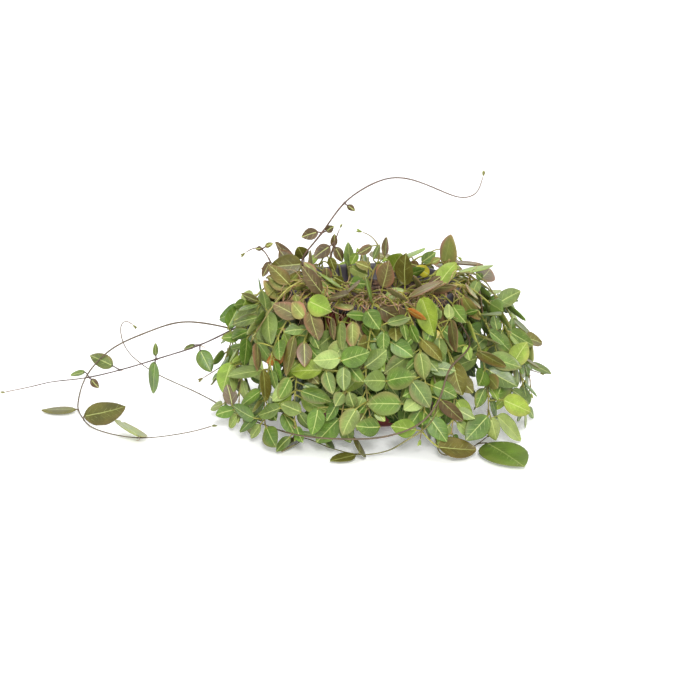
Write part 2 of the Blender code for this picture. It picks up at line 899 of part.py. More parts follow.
class Obstacles:
    """All shapes placed so far, for testing that a new leaf stands clear."""

    def __init__(self):
        self.items = []

    def add(self, points, faces, label):
        tree = BVHTree.FromPolygons(points, faces)
        middle = sum(points, Vector()) / len(points)
        reach = max((point - middle).length for point in points)
        self.items.append((tree, middle, reach, label))

    def clear(self, points, faces, skipped=()):
        tree = None
        middle = sum(points, Vector()) / len(points)
        reach = max((point - middle).length for point in points)
        for other, centre, size, label in self.items:
            if label in skipped or (centre - middle).length > reach + size:
                continue
            tree = tree or BVHTree.FromPolygons(points, faces)
            if tree.overlap(other):
                return False
        return True


def tube(rings):
    """Points and triangles of a closed tube through rings with equally many points."""
    points = [point for ring in rings for point in ring]
    count = len(rings[0])
    faces = [tuple(reversed(range(count)))]
    for level in range(len(rings) - 1):
        low, high = level * count, (level + 1) * count
        for index in range(count):
            other = (index + 1) % count
            faces.append((low + index, low + other, high + other))
            faces.append((low + index, high + other, high + index))
    last = (len(rings) - 1) * count
    faces.append(tuple(range(last, last + count)))
    return points, faces


BLADE_SHARES = (0.0, 0.2, 0.5, 0.8)
SMALL_BLADE_SHARES = (0.0, 0.3, 0.72)
SMALL_BLADE = 21 * MM
BASE_WIDTH = 1.8 * MM


def section_shares(leaf_):
    """Where along a blade its sections lie: a small leaf has fewer."""
    return SMALL_BLADE_SHARES if leaf_.length < SMALL_BLADE else BLADE_SHARES


def blade_ring(leaf_, share):
    """The three corners of a blade's section: left edge, right edge and the rib below."""
    if share == 0.0:
        across = leaf_.along.cross(leaf_.normal) * BASE_WIDTH / 2
        return [leaf_.base - across, leaf_.base + across,
                leaf_.base - leaf_.normal * BASE_WIDTH * 0.8]
    thick = LEAF_THICK * min(1.0, 2.2 * (1 - share) + 0.35)
    return [
        blade_point(leaf_, share, -1),
        blade_point(leaf_, share, 1),
        blade_point(leaf_, share, 0, thick),
    ]


def blade_test_shape(leaf_, grow):
    """A slightly enlarged blade, as a closed tube, for testing clearance."""
    rings = []
    across = leaf_.along.cross(leaf_.normal)
    for share in (0.04, 0.2, 0.5, 0.8, 0.97):
        left = blade_point(leaf_, share, -1) - across * grow
        right = blade_point(leaf_, share, 1) + across * grow
        lift = leaf_.normal * grow
        rib = blade_point(leaf_, share, 0, LEAF_THICK + grow)
        rings.append([left + lift, left - lift, rib, right - lift, right + lift])
    return tube(rings)


def twig_shape(start, stop, radius=0.9 * MM):
    """A thin closed tube from a stem to a blade's base."""
    ahead = (stop - start).normalized()
    side = ahead.orthogonal().normalized()
    other = ahead.cross(side)
    rings = []
    for centre in (start, stop):
        ring = []
        for index in range(4):
            turn = math.pi / 2 * index
            ring.append(centre + radius * (math.cos(turn) * side + math.sin(turn) * other))
        rings.append(ring)
    return tube(rings)


def fits(obstacles, leaf_, vine_label, node_label):
    """True where the blade and its twig stand clear of everything placed so far."""
    points, faces = blade_test_shape(leaf_, CLEARANCE)
    if min(point.z for point in points) < 0.5 * MM:
        return False
    if not obstacles.clear(points, faces):
        return False
    twig = leaf_.base - leaf_.root
    start = leaf_.root + twig.normalized() * min(3.4 * MM, 0.8 * twig.length)
    points, faces = twig_shape(start, leaf_.base, 1.4 * MM)
    if not obstacles.clear(points, faces, (node_label,)):
        return False
    points, faces = twig_shape(leaf_.root, start, 2.3 * MM)
    return obstacles.clear(points, faces, (vine_label, node_label))


def keep(obstacles, leaf_, node_label):
    points, faces = tube([blade_ring(leaf_, share) for share in section_shares(leaf_) + (0.99,)])
    obstacles.add(points, faces, node_label)
    points, faces = twig_shape(leaf_.root, leaf_.base, 1.5 * MM)
    obstacles.add(points, faces, node_label)


def leaf_choices(leaf_, draw):
    """A seen leaf, then the same leaf moved along the line of sight or turned a little."""
    toward_eye = (EYE - leaf_.base).normalized()
    yield leaf_
    for shift in (3, -3, 6, -6, 9, -9, 12, -12, 16, -16, 20):
        yield leaf_._replace(base=leaf_.base + toward_eye * shift * MM)
    for trial in range(14):
        shift = draw.uniform(-14, 16) * MM
        axis = Vector([draw.uniform(-1, 1) for _ in range(3)]).normalized()
        spin = Matrix.Rotation(draw.uniform(-0.5, 0.5), 3, axis)
        yield leaf_._replace(
            base=leaf_.base + toward_eye * shift,
            along=spin @ leaf_.along,
            normal=spin @ leaf_.normal,
        )


def free_tone(height, draw):
    """Colour family of a leaf made by rule: warmer towards the top."""
    if height > 112 * MM:
        return draw.choice(("olive", "lime", "pink", "green", "mauve", "bronze"))
    return draw.choice(("green", "green", "grey", "green", "grey", "lime", "olive", "pale"))


def free_leaf(node, ahead, side, length, draw):
    """A leaf made by rule: it leaves the stem sideways, hangs a little and faces outward."""
    out = Vector((node.x, node.y, 0)).normalized()
    if node.z > 112 * MM:
        out = (out * 0.5 + Vector((0, 0, 1))).normalized()
    along = side * draw.uniform(0.5, 1.0) + ahead * draw.uniform(-0.1, 0.7)
    along += out * draw.uniform(-0.1, 0.45)
    along.z -= draw.uniform(0.0, 0.7)
    along.normalize()
    face = out + Vector((0, 0, draw.uniform(-0.2, 0.8)))
    face += Vector([draw.uniform(-0.5, 0.5) for _ in range(3)])
    normal = (face - along * face.dot(along)).normalized()
    petiole = draw.uniform(3, 7) * MM
    width = length * draw.uniform(0.56, 0.7)
    base = node + along * petiole
    tone = free_tone(node.z, draw)
    return Leaf(node, base, along, normal, length, width, tone, draw.uniform(0.02, 0.1))


def leaf_length(distance, whole, draw):
    """Leaves get smaller towards the growing end."""
    share = max(0.0, (whole - distance) / (60 * MM))
    return min(1.0, 0.45 + 0.55 * share) * draw.uniform(25, 36) * MM


def ring_distances(route, run, nodes):
    """Where the stem's rings go: both ends of each node and wherever the route bends."""
    marks = [0.0]
    for node in nodes:
        marks += [node - NODE_HALF, node + NODE_HALF]
    marks.append(run[-1])
    marks = sorted(set(round(mark, 5) for mark in marks))

    def bends(low, high):
        if high - low < 9 * MM:
            return []
        start, stop = point_at(route, run, low), point_at(route, run, high)
        line = (stop - start).normalized()
        worst, where = 0.0, None
        for index, distance in enumerate(run):
            if low + 3 * MM < distance < high - 3 * MM:
                offset = route[index] - start
                gap = (offset - line * offset.dot(line)).length
                if gap > worst:
                    worst, where = gap, distance
        if worst < (BEND_LIMIT if low > ROOT_STRETCH else ROOT_BEND_LIMIT):
            return []
        return bends(low, where) + [where] + bends(where, high)

    filled = []
    for low, high in zip(marks, marks[1:]):
        filled += [low] + bends(low, high)
    return filled + [marks[-1]]


BEND_LIMIT = 1.9 * MM
ROOT_BEND_LIMIT = 0.8 * MM
ROOT_STRETCH = 18 * MM


def stem_radius(distance, whole):
    share = distance / whole
    return STEM_RADIUS + (STEM_TIP_RADIUS - STEM_RADIUS) * share ** 1.5


def stem_rings(route, run, marks):
    """Three-cornered rings of the stem, without twist from one to the next."""
    whole = run[-1]
    centres = [point_at(route, run, mark) for mark in marks]
    ahead = [(b - a).normalized() for a, b in zip(centres, centres[1:])]
    ahead = [ahead[0]] + [(a + b).normalized() for a, b in zip(ahead, ahead[1:])] + [ahead[-1]]
    side = ahead[0].orthogonal().normalized()
    rings = []
    for centre, forward, mark in zip(centres, ahead, marks):
        side = (side - forward * side.dot(forward)).normalized()
        other = forward.cross(side)
        radius = stem_radius(mark, whole)
        ring = []
        for index in range(3):
            turn = 2 * math.pi * index / 3
            ring.append(centre + radius * (math.cos(turn) * side + math.sin(turn) * other))
        rings.append(ring)
    return rings


def vine_nodes(route, run, seen, draw, free):
    """Distances along the stem of its nodes, and the seen leaves at each."""
    nodes = {}
    for leaf_ in seen:
        distance, _ = nearest_on(route, run, leaf_.base - leaf_.along * 3 * MM)
        distance = min(max(distance, 24 * MM), run[-1] - 3 * MM)
        options = [key for key, held in nodes.items() if abs(key - distance) < 7 * MM]
        options.sort(key=lambda key: abs(key - distance))
        home = next((key for key in options if len(nodes[key]) < 2), None)
        if home is None:
            while any(abs(key - distance) < 5 * MM for key in nodes):
                distance += 5.5 * MM
            if distance > run[-1] - 2 * MM:
                continue
            home = distance
            nodes[home] = []
        nodes[home].append(leaf_)
    if free:
        distance = free
        while distance < run[-1] - 3 * MM:
            if all(abs(key - distance) > 10 * MM for key in nodes):
                nodes[distance] = []
            distance += draw.uniform(*NODE_SPACING)
        nodes.setdefault(run[-1] - 2.6 * MM, []) if all(
            abs(key - run[-1]) > 9 * MM for key in nodes
        ) else None
    return dict(sorted(nodes.items()))


def laid_out():
    """Every vine with its route, ring places and leaves, all clear of each other."""
    draw = random.Random(5)
    clumps = Clumps()
    names, routes = [], []
    for name, (places, _) in SEEN_VINES.items():
        names.append(name)
        routes.append(seen_route(places, clumps))
    hanging = []
    for row, count, first, arc, inset in HANGING_ROWS:
        for index in range(count):
            turn = math.radians(first + arc * index / (count - 1) + draw.uniform(-2, 2))
            end = draw.choice((4, 10, 20, 32)) * MM if row != "inner" else draw.uniform(15, 60) * MM
            name = f"vine_{row}_{index + 1:02d}"
            hanging.append(name)
            names.append(name)
            routes.append(hanging_route(turn, inset, end, clumps, draw))
    routes = spread_routes([smooth(route) for route in routes])
    runs = [lengths_along(route) for route in routes]

    seen = {name: [] for name in names}
    for name, (_, leaves) in SEEN_VINES.items():
        seen[name] = [lying_leaf(item, draw) for item in leaves]
    fronts = [i for i, name in enumerate(names) if name in hanging and "inner" not in name]
    for item in CURTAIN_LEAVES:
        leaf_ = lying_leaf(item, draw)
        gaps = {i: nearest_on(routes[i], runs[i], leaf_.base)[1] for i in fronts}
        seen[names[min(gaps, key=gaps.get)]].append(leaf_)

    obstacles = Obstacles()
    for points, faces in pot_test_shapes():
        obstacles.add(points, faces, "pot")
    plans = []
    for name, route, run in zip(names, routes, runs):
        free = 0
        if name in hanging:
            free = FIRST_NODE
        nodes = vine_nodes(route, run, seen[name], draw, free)
        marks = ring_distances(route, run, nodes)
        rings = stem_rings(route, run, marks)
        obstacles.add(*tube(rings), name)
        plans.append((name, route, run, nodes, marks, rings))

    leaves = {name: {} for name in names}
    for name, route, run, nodes, marks, rings in plans:
        for distance, held in nodes.items():
            node = point_at(route, run, distance)
            label = f"{name}/{distance:.4f}"
            for leaf_ in held:
                for choice in leaf_choices(leaf_._replace(root=node), draw):
                    twig = choice.base - node
                    if twig.length < 2.5 * MM:
                        choice = choice._replace(base=node + choice.along * 3 * MM)
                    elif twig.length > LONGEST_TWIG:
                        continue
                    if fits(obstacles, choice, name, label):
                        keep(obstacles, choice, label)
                        leaves[name].setdefault(distance, []).append(choice)
                        break
    for name, route, run, nodes, marks, rings in plans:
        for distance in nodes:
            node = point_at(route, run, distance)
            if len(nodes[distance]) > 0 and (name not in hanging or len(leaves[name].get(distance, [])) > 1):
                continue
            ahead = point_at(route, run, distance + 3 * MM) - point_at(route, run, distance - 3 * MM)
            ahead.normalize()
            out = Vector((node.x, node.y, 0.0)).normalized()
            across = ahead.cross(out).normalized()
            label = f"{name}/{distance:.4f}"
            size = leaf_length(distance, run[-1], draw)
            for sign in (1, -1):
                if len(leaves[name].get(distance, [])) > 1:
                    break
                for trial in range(12):
                    spin = Matrix.Rotation(draw.uniform(-0.7, 0.7) * (1 + trial / 8), 3, ahead)
                    length = size * (1 - 0.03 * trial)
                    choice = free_leaf(node, ahead, spin @ (across * sign), length, draw)
                    if fits(obstacles, choice, name, label):
                        keep(obstacles, choice, label)
                        leaves[name].setdefault(distance, []).append(choice)
                        break
    return [
        (name, route, run, marks, rings, leaves[name])
        for name, route, run, nodes, marks, rings in plans
    ]

DRAIN_HOLES = 6
DRAIN_RADIUS = 3.2 * MM
DRAIN_CIRCLE = 34 * MM
MEDIUM_FLOOR = 2.4 * MM


def clear_scene():
    for obj in list(bpy.data.objects):
        bpy.data.objects.remove(obj)


def material(name, colour, roughness):
    made = bpy.data.materials.new(name)
    made.use_nodes = True
    shader = made.node_tree.nodes["Principled BSDF"]
    shader.inputs["Base Color"].default_value = (*colour, 1)
    shader.inputs["Roughness"].default_value = roughness
    return made


def solid(name, points, faces, finish=None):
    mesh = bpy.data.meshes.new(name)
    mesh.from_pydata([tuple(point) for point in points], [], faces)
    mesh.validate()
    obj = bpy.data.objects.new(name, mesh)
    bpy.context.scene.collection.objects.link(obj)
    if finish:
        mesh.materials.append(finish)
    return obj


def upright_prism(name, centre, radius, low, high, sides):
    """A hidden cutter."""
    profile = [(0, low), (radius, low), (radius, high), (0, high)]
    points, faces = turned(profile, sides)
    points = [point + Vector((centre.x, centre.y, 0)) for point in points]
    cutter = solid(name, points, faces)
    cutter.hide_render = True
    cutter.display_type = "WIRE"
    return cutter


def cut(obj, cutter):
    modifier = obj.modifiers.new(cutter.name, "BOOLEAN")
    modifier.operation = "DIFFERENCE"
    modifier.solver = "EXACT"
    modifier.object = cutter


def build_pot():
    """Two-tone plastic shell with a turned-over rim and drain holes round a plain centre."""
    points, faces = turned(pot_profile(), POT_SIDES)
    pot = solid("pot", points, faces, material("pot_plastic", (0.2, 0.03, 0.025), 0.45))
    for index in range(DRAIN_HOLES):
        turn = 2 * math.pi * (index + 0.08) / DRAIN_HOLES
        centre = DRAIN_CIRCLE * Vector((math.cos(turn), math.sin(turn), 0))
        name = f"drain_cutter_{index + 1}"
        cut(pot, upright_prism(name, centre, DRAIN_RADIUS, -5 * MM, 2.2 * MM, 8))


def build_medium():
    """Chunky medium with a lumpy top, 0.3 mm clear of the pot, with a hole for each clump."""
    draw = random.Random(11)
    floor = MEDIUM_FLOOR
    top_radius = wall_radius(MEDIUM_TOP) - WALL - 3 * MEDIUM_GAP
    floor_radius = wall_radius(floor) - WALL - 3 * MEDIUM_GAP
    rings = [floor_radius, top_radius, 0.82 * top_radius, 0.5 * top_radius, 0.2 * top_radius]
    heights = [floor] + [MEDIUM_TOP] * 4
    profile = [(0, floor)] + list(zip(rings, heights)) + [(0, MEDIUM_TOP)]
    points, faces = turned(profile, MEDIUM_SIDES)
    for point in points[1 + MEDIUM_SIDES:]:
        point.z += draw.uniform(-3, 1.8) * MM
    solid_faces = []
    for face in faces:
        solid_faces += [face] if len(face) == 3 else [face[:3], (face[0], face[2], face[3])]
    finish = material("planting_medium", (0.03, 0.022, 0.016), 0.9)
    medium = solid("potting_medium", points, solid_faces, finish)
    for index, centre in enumerate(clump_places()):
        low, high = MEDIUM_TOP - HOLE_DEPTH, MEDIUM_TOP + 10 * MM
        name = f"stem_hole_cutter_{index + 1:02d}"
        cut(medium, upright_prism(name, centre, HOLE_RADIUS, low, high, 6))


TONES = {
    "green": (0.16, 0.26, 0.06),
    "grey": (0.19, 0.24, 0.11),
    "lime": (0.33, 0.45, 0.1),
    "olive": (0.2, 0.19, 0.05),
    "bronze": (0.14, 0.09, 0.05),
    "pink": (0.42, 0.26, 0.15),
    "mauve": (0.26, 0.2, 0.13),
    "pale": (0.36, 0.42, 0.19),
    "yellow": (0.5, 0.4, 0.07),
    "orange": (0.45, 0.2, 0.05),
}


def leaf_side(ring, leaves):
    """Which of a node's three sides each leaf grows from."""
    middle = sum(ring, Vector()) / 3
    outward = [((ring[i] + ring[(i + 1) % 3]) / 2 - middle).normalized() for i in range(3)]
    chosen = []
    for leaf_ in leaves:
        toward = (leaf_.base - leaf_.root).normalized()
        order = sorted(range(3), key=lambda i: -outward[i].dot(toward))
        chosen.append(next(i for i in order if i not in chosen))
    return chosen


def best_turn(first, second):
    """The second ring's corners, started where they best follow the first ring's."""
    turns = [second[k:] + second[:k] for k in range(3)]
    return min(turns, key=lambda ring: sum((a - b).length for a, b in zip(first, ring)))


class Skin:
    """Collects the points and triangles of one closed stem with its leaves."""

    def __init__(self):
        self.points = []
        self.faces = []
        self.paint = []

    def add_ring(self, ring):
        start = len(self.points)
        self.points += ring
        return [start + index for index in range(len(ring))]

    def join(self, low, high, slot, missing=()):
        for index in range(3):
            other = (index + 1) % 3
            if index not in missing:
                self.faces.append((low[index], low[other], high[other]))
                self.paint.append(slot)
            self.faces.append((low[index], high[other], high[index]))
            self.paint.append(slot)

    def cap(self, ring, slot):
        self.faces.append(tuple(ring))
        self.paint.append(slot)

    def grow_leaf(self, start, leaf_, slot):
        """Grows a twig and a blade out of one triangle of the stem."""
        corners = [self.points[index] for index in start]
        below = start
        for share in section_shares(leaf_):
            ring = best_turn(corners, blade_ring(leaf_, share))
            above = self.add_ring(ring)
            self.join(below, above, 0 if share == 0.0 else slot)
            below, corners = above, ring
        tip = self.add_ring([blade_point(leaf_, 1.0, 0, 0.3 * LEAF_THICK)])[0]
        for index in range(3):
            self.faces.append((below[index], below[(index + 1) % 3], tip))
            self.paint.append(slot)


def build_vine(name, route, run, marks, rings, leaves):
    skin_ = Skin()
    indices = [skin_.add_ring(ring) for ring in rings]
    tones = sorted({item.tone for held in leaves.values() for item in held})
    starts = {}
    for distance, held in leaves.items():
        level = min(range(len(marks)), key=lambda i: abs(marks[i] - (distance - NODE_HALF)))
        sides = leaf_side(rings[level], held)
        starts[level] = dict(zip(sides, held))
    skin_.cap(list(reversed(indices[0])), 0)
    skin_.cap(indices[-1], 0)
    for level, (low, high) in enumerate(zip(indices, indices[1:])):
        grown = starts.get(level, {})
        skin_.join(low, high, 0, tuple(grown))
        for side, leaf_ in grown.items():
            other = (side + 1) % 3
            start = [low[side], low[other], high[other]]
            skin_.grow_leaf(start, leaf_, 1 + tones.index(leaf_.tone))
    obj = solid(name, skin_.points, skin_.faces)
    obj.data.materials.append(material(name + "_stem", (0.2, 0.2, 0.06), 0.6))
    for tone in tones:
        obj.data.materials.append(material(f"{name}_{tone}", TONES[tone], 0.5))
    for polygon, slot in zip(obj.data.polygons, skin_.paint):
        polygon.material_index = slot


clear_scene()
build_pot()
build_medium()
for plan in laid_out():
    build_vine(*plan)
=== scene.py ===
"""A trailing dischidia in a plastic nursery pot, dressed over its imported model.

Each leafy stem is one detailed piece that replaces its node, with round stems, fleshy
veined blades and rootlets. Finer vines, leaves, roots and bark chips fill the gaps.
Lengths are in metres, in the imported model's frame.
"""

import bisect
import json
import math
import random
from collections import namedtuple

import bmesh
import bpy
import numpy as np
from mathutils import Matrix, Vector
from mathutils.bvhtree import BVHTree
from mathutils.kdtree import KDTree

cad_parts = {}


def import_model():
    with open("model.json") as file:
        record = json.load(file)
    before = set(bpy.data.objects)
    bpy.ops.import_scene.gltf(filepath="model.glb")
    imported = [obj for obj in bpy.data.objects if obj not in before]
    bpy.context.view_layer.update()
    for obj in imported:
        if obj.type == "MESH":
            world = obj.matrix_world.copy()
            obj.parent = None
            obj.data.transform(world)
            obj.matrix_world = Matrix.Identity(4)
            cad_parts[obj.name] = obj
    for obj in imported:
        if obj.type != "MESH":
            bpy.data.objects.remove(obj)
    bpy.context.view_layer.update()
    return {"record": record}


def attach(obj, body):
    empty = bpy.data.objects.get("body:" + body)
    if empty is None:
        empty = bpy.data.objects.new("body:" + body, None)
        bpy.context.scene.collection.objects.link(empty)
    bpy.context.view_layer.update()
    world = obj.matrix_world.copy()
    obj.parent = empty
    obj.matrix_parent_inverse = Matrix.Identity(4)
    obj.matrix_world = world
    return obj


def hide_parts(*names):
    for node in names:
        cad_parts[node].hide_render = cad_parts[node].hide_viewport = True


MM = 0.001

# The pot: a thin moulded nursery pot.
POT_HEIGHT = 115 * MM
RIM_RADIUS = 75 * MM
BASE_RADIUS = 52 * MM
WALL = 1.5 * MM
RIM_ROLL = 3 * MM
RIM_DEPTH = 8 * MM

# The planting medium and the holes that the clumps of stems stand in.
MEDIUM_TOP = 103 * MM
MEDIUM_GAP = 0.3 * MM
MEDIUM_FLOOR = 2.4 * MM
HOLE_DEPTH = 14 * MM
CLUMP_RINGS = [(49 * MM, 11), (24 * MM, 5)]
STEMS_IN_CLUMP = 4
STEM_SPREAD = 3.0 * MM

# Stems and leaves.
STEM_RADIUS = 1.25 * MM
STEM_TIP_RADIUS = 0.65 * MM
NODE_HALF = 1.5 * MM
LEAF_SHAPE = 0.64
LEAF_THICK = 1.7 * MM
LONGEST_LEAF = 41 * MM
LONGEST_TWIG = 22 * MM
CLEARANCE = 0.4 * MM

# The outer skin of the foliage: its radius at each height.
SKIN_HEIGHTS = [h * MM for h in (0, 30, 60, 90, 115, 135, 155, 165)]
SKIN_RADII = [r * MM for r in (148, 146, 138, 126, 106, 85, 45, 0)]

# Hanging vines made by rule: number, first angle, arc and inset from the skin.
HANGING_ROWS = [
    ("front", 13, 184, 172, 9 * MM),
    ("back", 8, 10, 158, 24 * MM),
    ("inner", 12, 5, 330, 46 * MM),
]
FIRST_NODE = 64 * MM
NODE_SPACING = (19 * MM, 25 * MM)

# The solids whose places the detailed pieces follow.
POT_SIDES = 40
MEDIUM_SIDES = 20
BLADE_SHARES = (0.0, 0.2, 0.5, 0.8)
SMALL_BLADE_SHARES = (0.0, 0.3, 0.72)
SMALL_BLADE = 21 * MM
BASE_WIDTH = 1.8 * MM
BEND_LIMIT = 1.9 * MM
ROOT_BEND_LIMIT = 0.8 * MM
ROOT_STRETCH = 18 * MM

# How far apart stems are kept, from each other and where they cross.
STEM_GAP = 5.2 * MM
CROSSING_GAP = 4.6 * MM

# Fineness of the detailed pieces.
STEM_STEP = 2.6 * MM
STEM_SIDES = 8
STEM_THIN = 0.66
BLADE_STEPS = (0.0, 0.025, 0.08, 0.16, 0.26, 0.38, 0.5, 0.62, 0.74, 0.84, 0.92, 0.97)
SMALL_BLADE_STEPS = (0.0, 0.04, 0.14, 0.3, 0.48, 0.66, 0.82, 0.94)
BLADE_SIDES = (-1.0, -0.93, -0.72, -0.4, -0.1, 0.0, 0.1, 0.4, 0.72, 0.93, 1.0)
BLADE_THICK = 1.3 * MM
TWIG_RADIUS = 0.62 * MM

# Extra leaves and vines that fill the foliage.
FILL_ROWS = [("wall", 22, 6 * MM), ("middle", 20, 15 * MM)]
FILL_GAP = 3.2 * MM
MORE_FIRST = 34 * MM
MORE_SPACING = (7 * MM, 11 * MM)
MORE_BELOW = 108 * MM
MORE_TRIALS = 8

# Colours are given as they look on a screen, from 0 to 255.
LEAF_COLOURS = {
    "green": (84, 113, 36),
    "grey": (99, 118, 56),
    "lime": (124, 147, 50),
    "olive": (96, 92, 32),
    "bronze": (84, 68, 38),
    "pink": (132, 136, 66),
    "mauve": (104, 94, 58),
    "pale": (134, 150, 82),
    "yellow": (172, 160, 46),
    "orange": (168, 104, 38),
    # The dark tone is painted shade: only the filling leaves deep inside the foliage, against the pot's
    # wall, take it.
    "dark": (54, 80, 28),
}
BLUSH = {"pink": 0.85, "mauve": 0.45, "bronze": 0.1, "orange": 0.3, "dark": 0.0}
STEM_GREEN = (138, 138, 58)
STEM_COLOURS = {
    "tendril_high": (92, 70, 58),
    "runner_loop": (96, 80, 58),
    "runner_left": (84, 66, 62),
    "runner_hook": (96, 78, 56),
    "runner_front": (120, 116, 62),
    "stem_lower_right": (104, 94, 60),
    "stem_yellow": (170, 168, 84),
    "stub_left": (104, 88, 60),
    "right_stub": (128, 124, 66),
    "right_vine": (124, 118, 66),
    "shoot_left": (104, 80, 62),
    "shoot_brown": (104, 80, 62),
}
VEIN_COLOUR = (188, 198, 118)
BLUSH_COLOUR = (158, 92, 82)
ROOT_COLOUR = (215, 182, 150)
POT_RED = (128, 46, 38)
POT_GREY = (84, 78, 86)
BARK_COLOUR = (74, 54, 40)

# Turns of the pot, sides of the bed, chips on it, and stems and roots over the rim.
POT_TURNS = 112
BED_SIDES = 72
CHIPS = 460
RIM_STEMS = 46
AERIAL_ROOTS = 170

# Added leaves stay inside these, and off the bare stretch at the front of the pot.
EXTRA_LEFT = -141 * MM
EXTRA_RIGHT = 138 * MM
EXTRA_BACK = 126 * MM
BARE_LEFT, BARE_RIGHT = -47 * MM, -3 * MM
BARE_LOW, BARE_HIGH = 85 * MM, 124 * MM

# The studio: power of the surroundings, glow of the sweep, and name, place, size and
# power of each light.
WORLD_POWER = 0.6
SWEEP_GLOW = 0.22
LIGHTS = [
    ("key", (0.1, -2.0, 1.15), 0.45, 40),
    ("left_fill", (-2.0, -1.2, 1.6), 1.2, 14),
    ("right_fill", (2.0, -1.0, 1.6), 1.2, 14),
    ("top", (0.0, 0.3, 2.4), 1.6, 14),
]
LIGHT_AIM = (0, 0, 0.06)
SENSOR_WIDTH = 36

# The photograph's view, which the places listed below are measured in.
VIEW_RISE = math.radians(16.5)
VIEW_DISTANCE = 1.8
VIEW_CENTRE = Vector((-0.022, 0.0, 0.0544))
PIXEL = 0.88 * MM
HALF_FRAME = 350
VIEW_AHEAD = Vector((0, math.cos(VIEW_RISE), -math.sin(VIEW_RISE)))
VIEW_UP = Vector((0, math.sin(VIEW_RISE), math.cos(VIEW_RISE)))
VIEW_RIGHT = Vector((1, 0, 0))
EYE = VIEW_CENTRE - VIEW_DISTANCE * VIEW_AHEAD

Seen = namedtuple("Seen", "across down where amount")
SeenLeaf = namedtuple("SeenLeaf", "base tip wide tone where amount")
Leaf = namedtuple("Leaf", "root base along normal length width tone droop")


def plane(across, down, back):
    """A place seen at this pixel, lying so many millimetres behind the pot's axis."""
    return Seen(across, down, "plane", back)


def skin(across, down, out=0):
    """A place seen at this pixel, on the foliage's skin or so many millimetres outside it."""
    return Seen(across, down, "skin", out)


def ground(across, down, up=3):
    """A place seen at this pixel, so many millimetres above the surface that the pot stands on."""
    return Seen(across, down, "ground", up)


def leaf(base, tip, wide, tone, out=0, back=None, up=None):
    """A leaf seen from its base pixel to its tip pixel and this many pixels wide."""
    if back is not None:
        return SeenLeaf(base, tip, wide, tone, "plane", back)
    if up is not None:
        return SeenLeaf(base, tip, wide, tone, "ground", up)
    return SeenLeaf(base, tip, wide, tone, "skin", out)


